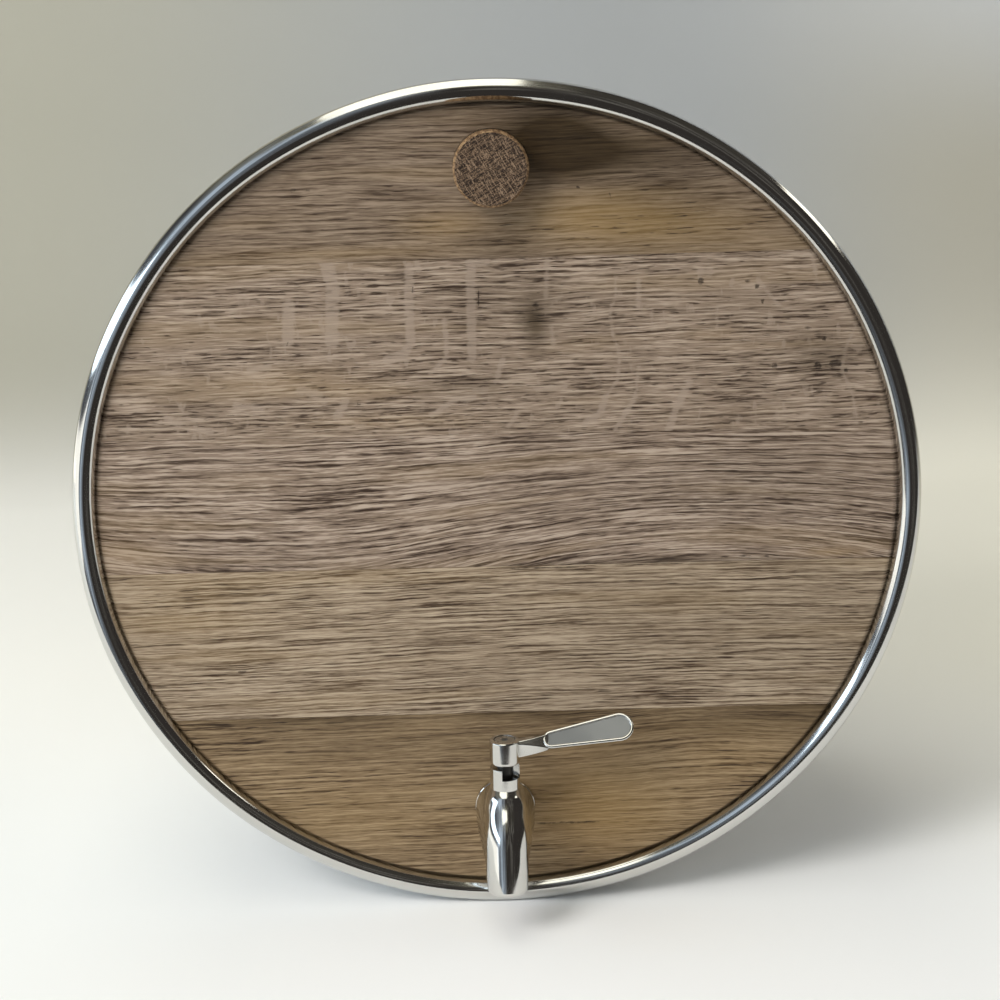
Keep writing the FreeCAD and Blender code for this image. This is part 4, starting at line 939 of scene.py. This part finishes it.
for subpart in frame["record"]["subparts"]:
    node, finish = subpart["node"], subpart["material_slot"]
    # the stem takes the near-black steel: painted shade for the narrow gap it shows through
    finish = "painted_shade_steel" if node == "valve_stem" else {"oak_dowel": "oak_bung"}.get(finish, finish)
    cad[node].data.materials.clear()
    cad[node].data.materials.append(finishes[finish])


# ---------------- stage, lamps and camera

def stage_piece(name, points, faces, finish):
    """A piece of the stage, from whole arrays."""
    data = bpy.data.meshes.new(name)
    data.from_pydata(np.asarray(points, float).reshape(-1, 3), [], faces)
    data.materials.append(finish)
    obj = bpy.data.objects.new(name, data)
    scene.collection.objects.link(obj)
    return obj


def backdrop():
    """A pale table that turns up into a wall: flat to y = 0.7, a quarter round of 0.3 m, then upright.

    Its front part is a piece of its own, which polished metal doesn't see: there it sees the dim room. Its
    colours change across, with the depth and with the height, as painted shade and light: the wall is far
    darker than the table and lighter at the upper right, and the table is lighter towards the right.
    """
    side, front_end, parted = 2.2, -3.2, -0.27
    turn = np.linspace(0, np.pi / 2, 24)
    y = np.concatenate([[parted], 0.7 + 0.3 * np.sin(turn), [1.0]])
    z = np.concatenate([[0], 0.3 - 0.3 * np.cos(turn), [2.6]])
    x = np.linspace(-side, side, 3)[:, None]
    points = np.stack([x + 0 * y, y + 0 * x, z + 0 * x], -1)
    f = Finish("backdrop")
    across, depth, height = f.add("SeparateXYZ", {0: f.place()}).outputs
    # painted shade on the upright wall, much darker than the table, with a painted lighter patch at the upper
    # right
    wall = f.mix(f.remap(across, -0.5, 0.1), (0.44, 0.42, 0.35, 1), (0.41, 0.42, 0.43, 1))
    wall = f.mix(f.remap(across, 0.2, 0.5), wall, (0.48, 0.46, 0.40, 1))
    upper_right = f.times(f.remap(across, 0.1, 0.6), f.remap(height, 0.22, 0.5))
    wall = f.mix(upper_right, wall, (0.66, 0.68, 0.72, 1))
    # painted light: the table is lighter towards the right
    far = f.mix(f.remap(across, 0.0, 0.45), (0.92, 0.90, 0.85, 1), (1.0, 0.97, 0.86, 1))
    near = f.mix(f.remap(across, -0.3, 0.05), (0.86, 0.86, 0.84, 1), (1.0, 1.0, 1.0, 1))
    table = f.mix(f.remap(depth, -0.1, 0.3), near, far)
    turn_at = f.less(depth, f.remap(across, 0.1, 0.5, 0.0, 0.06))
    tone = f.mix(f.remap(turn_at, 0.66, 0.93), table, wall)
    paint = f.shade(Base_Color=tone, Roughness=0.9, Specular_IOR_Level=0.1)
    # a camera behind the wall looks through it, so the back of the cask can be seen
    behind = f.times(f.add("NewGeometry").outputs["Backfacing"], f.add("LightPath").outputs["Is Camera Ray"])
    seen = f.add("MixShader", {0: behind, 1: f.shader.outputs[0], 2: f.add("BsdfTransparent").outputs[0]})
    f.links.new(seen.outputs[0], f.nodes["Material Output"].inputs[0])
    obj = stage_piece("backdrop", points, grid_faces(*points.shape[:2])[:, ::-1].tolist(), paint)
    obj.data.shade_smooth()
    corners = [(-side, front_end, 0), (side, front_end, 0), (side, parted, 0), (-side, parted, 0)]
    front = stage_piece("front_floor", corners, [(0, 1, 2, 3)], paint)
    front.visible_glossy = False


def room():
    """What polished metal sees past the lamps: a dim room, as a box that no other light meets.

    It has an olive ceiling, daylight at the front left and upright streaks along the front.
    """
    x, y, z = (-2.4, 2.4), (-3.2, 1.2), (-0.7, 2.9)
    corners = np.stack(np.meshgrid(x, y, z, indexing="ij"), -1).reshape(-1, 3)
    faces = [(0, 1, 3, 2), (4, 6, 7, 5), (0, 4, 5, 1), (2, 3, 7, 6), (0, 2, 6, 4), (1, 5, 7, 3)]
    f = Finish("room")
    place = f.place()
    across, along, height = f.add("SeparateXYZ", {0: place}).outputs
    cloud = f.remap(f.noise(place, scale=1.7, detail=2), 0.42, 0.62)
    streak = f.noise(f.stretched(place, (2.6, 0.5, 0.35)), detail=3, roughness=0.6)
    lit = f.times(f.remap(height, 1.9, 2.8), f.remap(across, -0.1, 0.9, 1.0, 0.1))
    ceiling = f.times(lit, f.plus(f.times(cloud, 0.6), 0.5))
    daylight = f.times(f.remap(across, -1.5, -0.12, 1.0, 0.0), f.remap(along, -2.6, -1.0, 1.0, 0.15))
    daylight = f.times(daylight, f.remap(streak, 0.40, 0.56, 0.25, 1.0))
    glints = f.times(f.remap(streak, 0.52, 0.62), f.remap(along, -3.0, -1.6, 0.5, 0.0))
    tone = f.mix(ceiling, (0.040, 0.036, 0.033, 1), (0.20, 0.19, 0.135, 1))
    tone = f.mix(glints, tone, (0.34, 0.33, 0.30, 1))
    tone = f.mix(daylight, tone, (0.55, 0.66, 0.80, 1))
    paint = f.shade(Base_Color=(0, 0, 0, 1), Roughness=1.0, Specular_IOR_Level=0.0,
                    Emission_Color=tone, Emission_Strength=1.0)
    obj = stage_piece("room", corners, faces, paint)
    obj.visible_camera = obj.visible_diffuse = obj.visible_shadow = False


backdrop()
room()


def lamp(name, middle, facing, along, size, radiance, colour, in_metal=True):
    """A soft rectangular lamp. Its first side runs along a direction; radiance is its face's brightness."""
    data = bpy.data.lights.new(name, "AREA")
    data.shape = "RECTANGLE"
    data.size, data.size_y = size
    data.energy = radiance * 4 * size[0] * size[1]
    data.color = colour
    obj = bpy.data.objects.new(name, data)
    scene.collection.objects.link(obj)
    back = -Vector(facing).normalized()
    first = (Vector(along) - back * Vector(along).dot(back)).normalized()
    turn = Matrix((first, back.cross(first), back)).transposed().to_4x4()
    obj.matrix_world = Matrix.Translation(middle) @ turn
    obj.visible_glossy = in_metal


def fan_lamp(name, angle, reach, y_from, y_to, width, radiance, colour):
    """A strip of light along the cask's axis, reach metres from it at an angle about it, that faces it."""
    out = np.array([math.cos(math.radians(angle)), 0, math.sin(math.radians(angle))])
    middle = reach * out + (0, (y_from + y_to) / 2, RIM_R / 1000)
    lamp(name, middle.tolist(), (-out).tolist(), (0, 1, 0), (y_to - y_from, width), radiance, colour)


fan_lamp("left_window", 164, 1.45, -1.9, 0.6, 0.34, 3.2, (0.72, 0.86, 1.0))
fan_lamp("left_wall", 190, 1.5, -1.5, 0.8, 0.55, 1.1, (1.0, 0.99, 0.93))
fan_lamp("ceiling", 100.5, 1.45, -1.5, 0.85, 0.86, 1.35, (1.0, 0.985, 0.87))
fan_lamp("right_lamp", 33, 1.5, -0.35, 0.7, 0.3, 1.6, (1.0, 0.97, 0.85))
lamp("key", (-1.1, -1.25, 1.4), (1.1, 1.2, -1.2), (1, 0, 0), (0.75, 0.75), 10.3, (1.0, 0.985, 0.955), False)
lamp("cool_fill", (-1.3, -1.4, 0.6), (1.1, 1.2, -0.4), (1, -1, 0), (0.9, 0.7), 0.8, (0.45, 0.74, 1.0), False)

world = bpy.data.worlds.new("daylight")
scene.world = world
world.use_nodes = True
world.node_tree.nodes["Background"].inputs[0].default_value = (1.0, 0.985, 0.95, 1)
world.node_tree.nodes["Background"].inputs[1].default_value = 0.20

camera_data = bpy.data.cameras.new("camera")
camera_data.lens = 67.5
camera_data.sensor_width = 36
camera_data.clip_start = 0.05
camera_data.clip_end = 30
camera = bpy.data.objects.new("camera", camera_data)
scene.collection.objects.link(camera)
# fitted to the head's outline: the camera's own directions, and its place as the last column
right, up, ahead = (0.99966, -0.01637, -0.02018), (0.02365, 0.25221, 0.96738), (0.01074, 0.96754, -0.25251)
camera.matrix_world = Matrix((
    (right[0], up[0], -ahead[0], -0.00789),
    (right[1], up[1], -ahead[1], -0.88092),
    (right[2], up[2], -ahead[2], 0.40718),
    (0, 0, 0, 1),
))
scene.camera = camera

scene.view_settings.view_transform = "Standard"
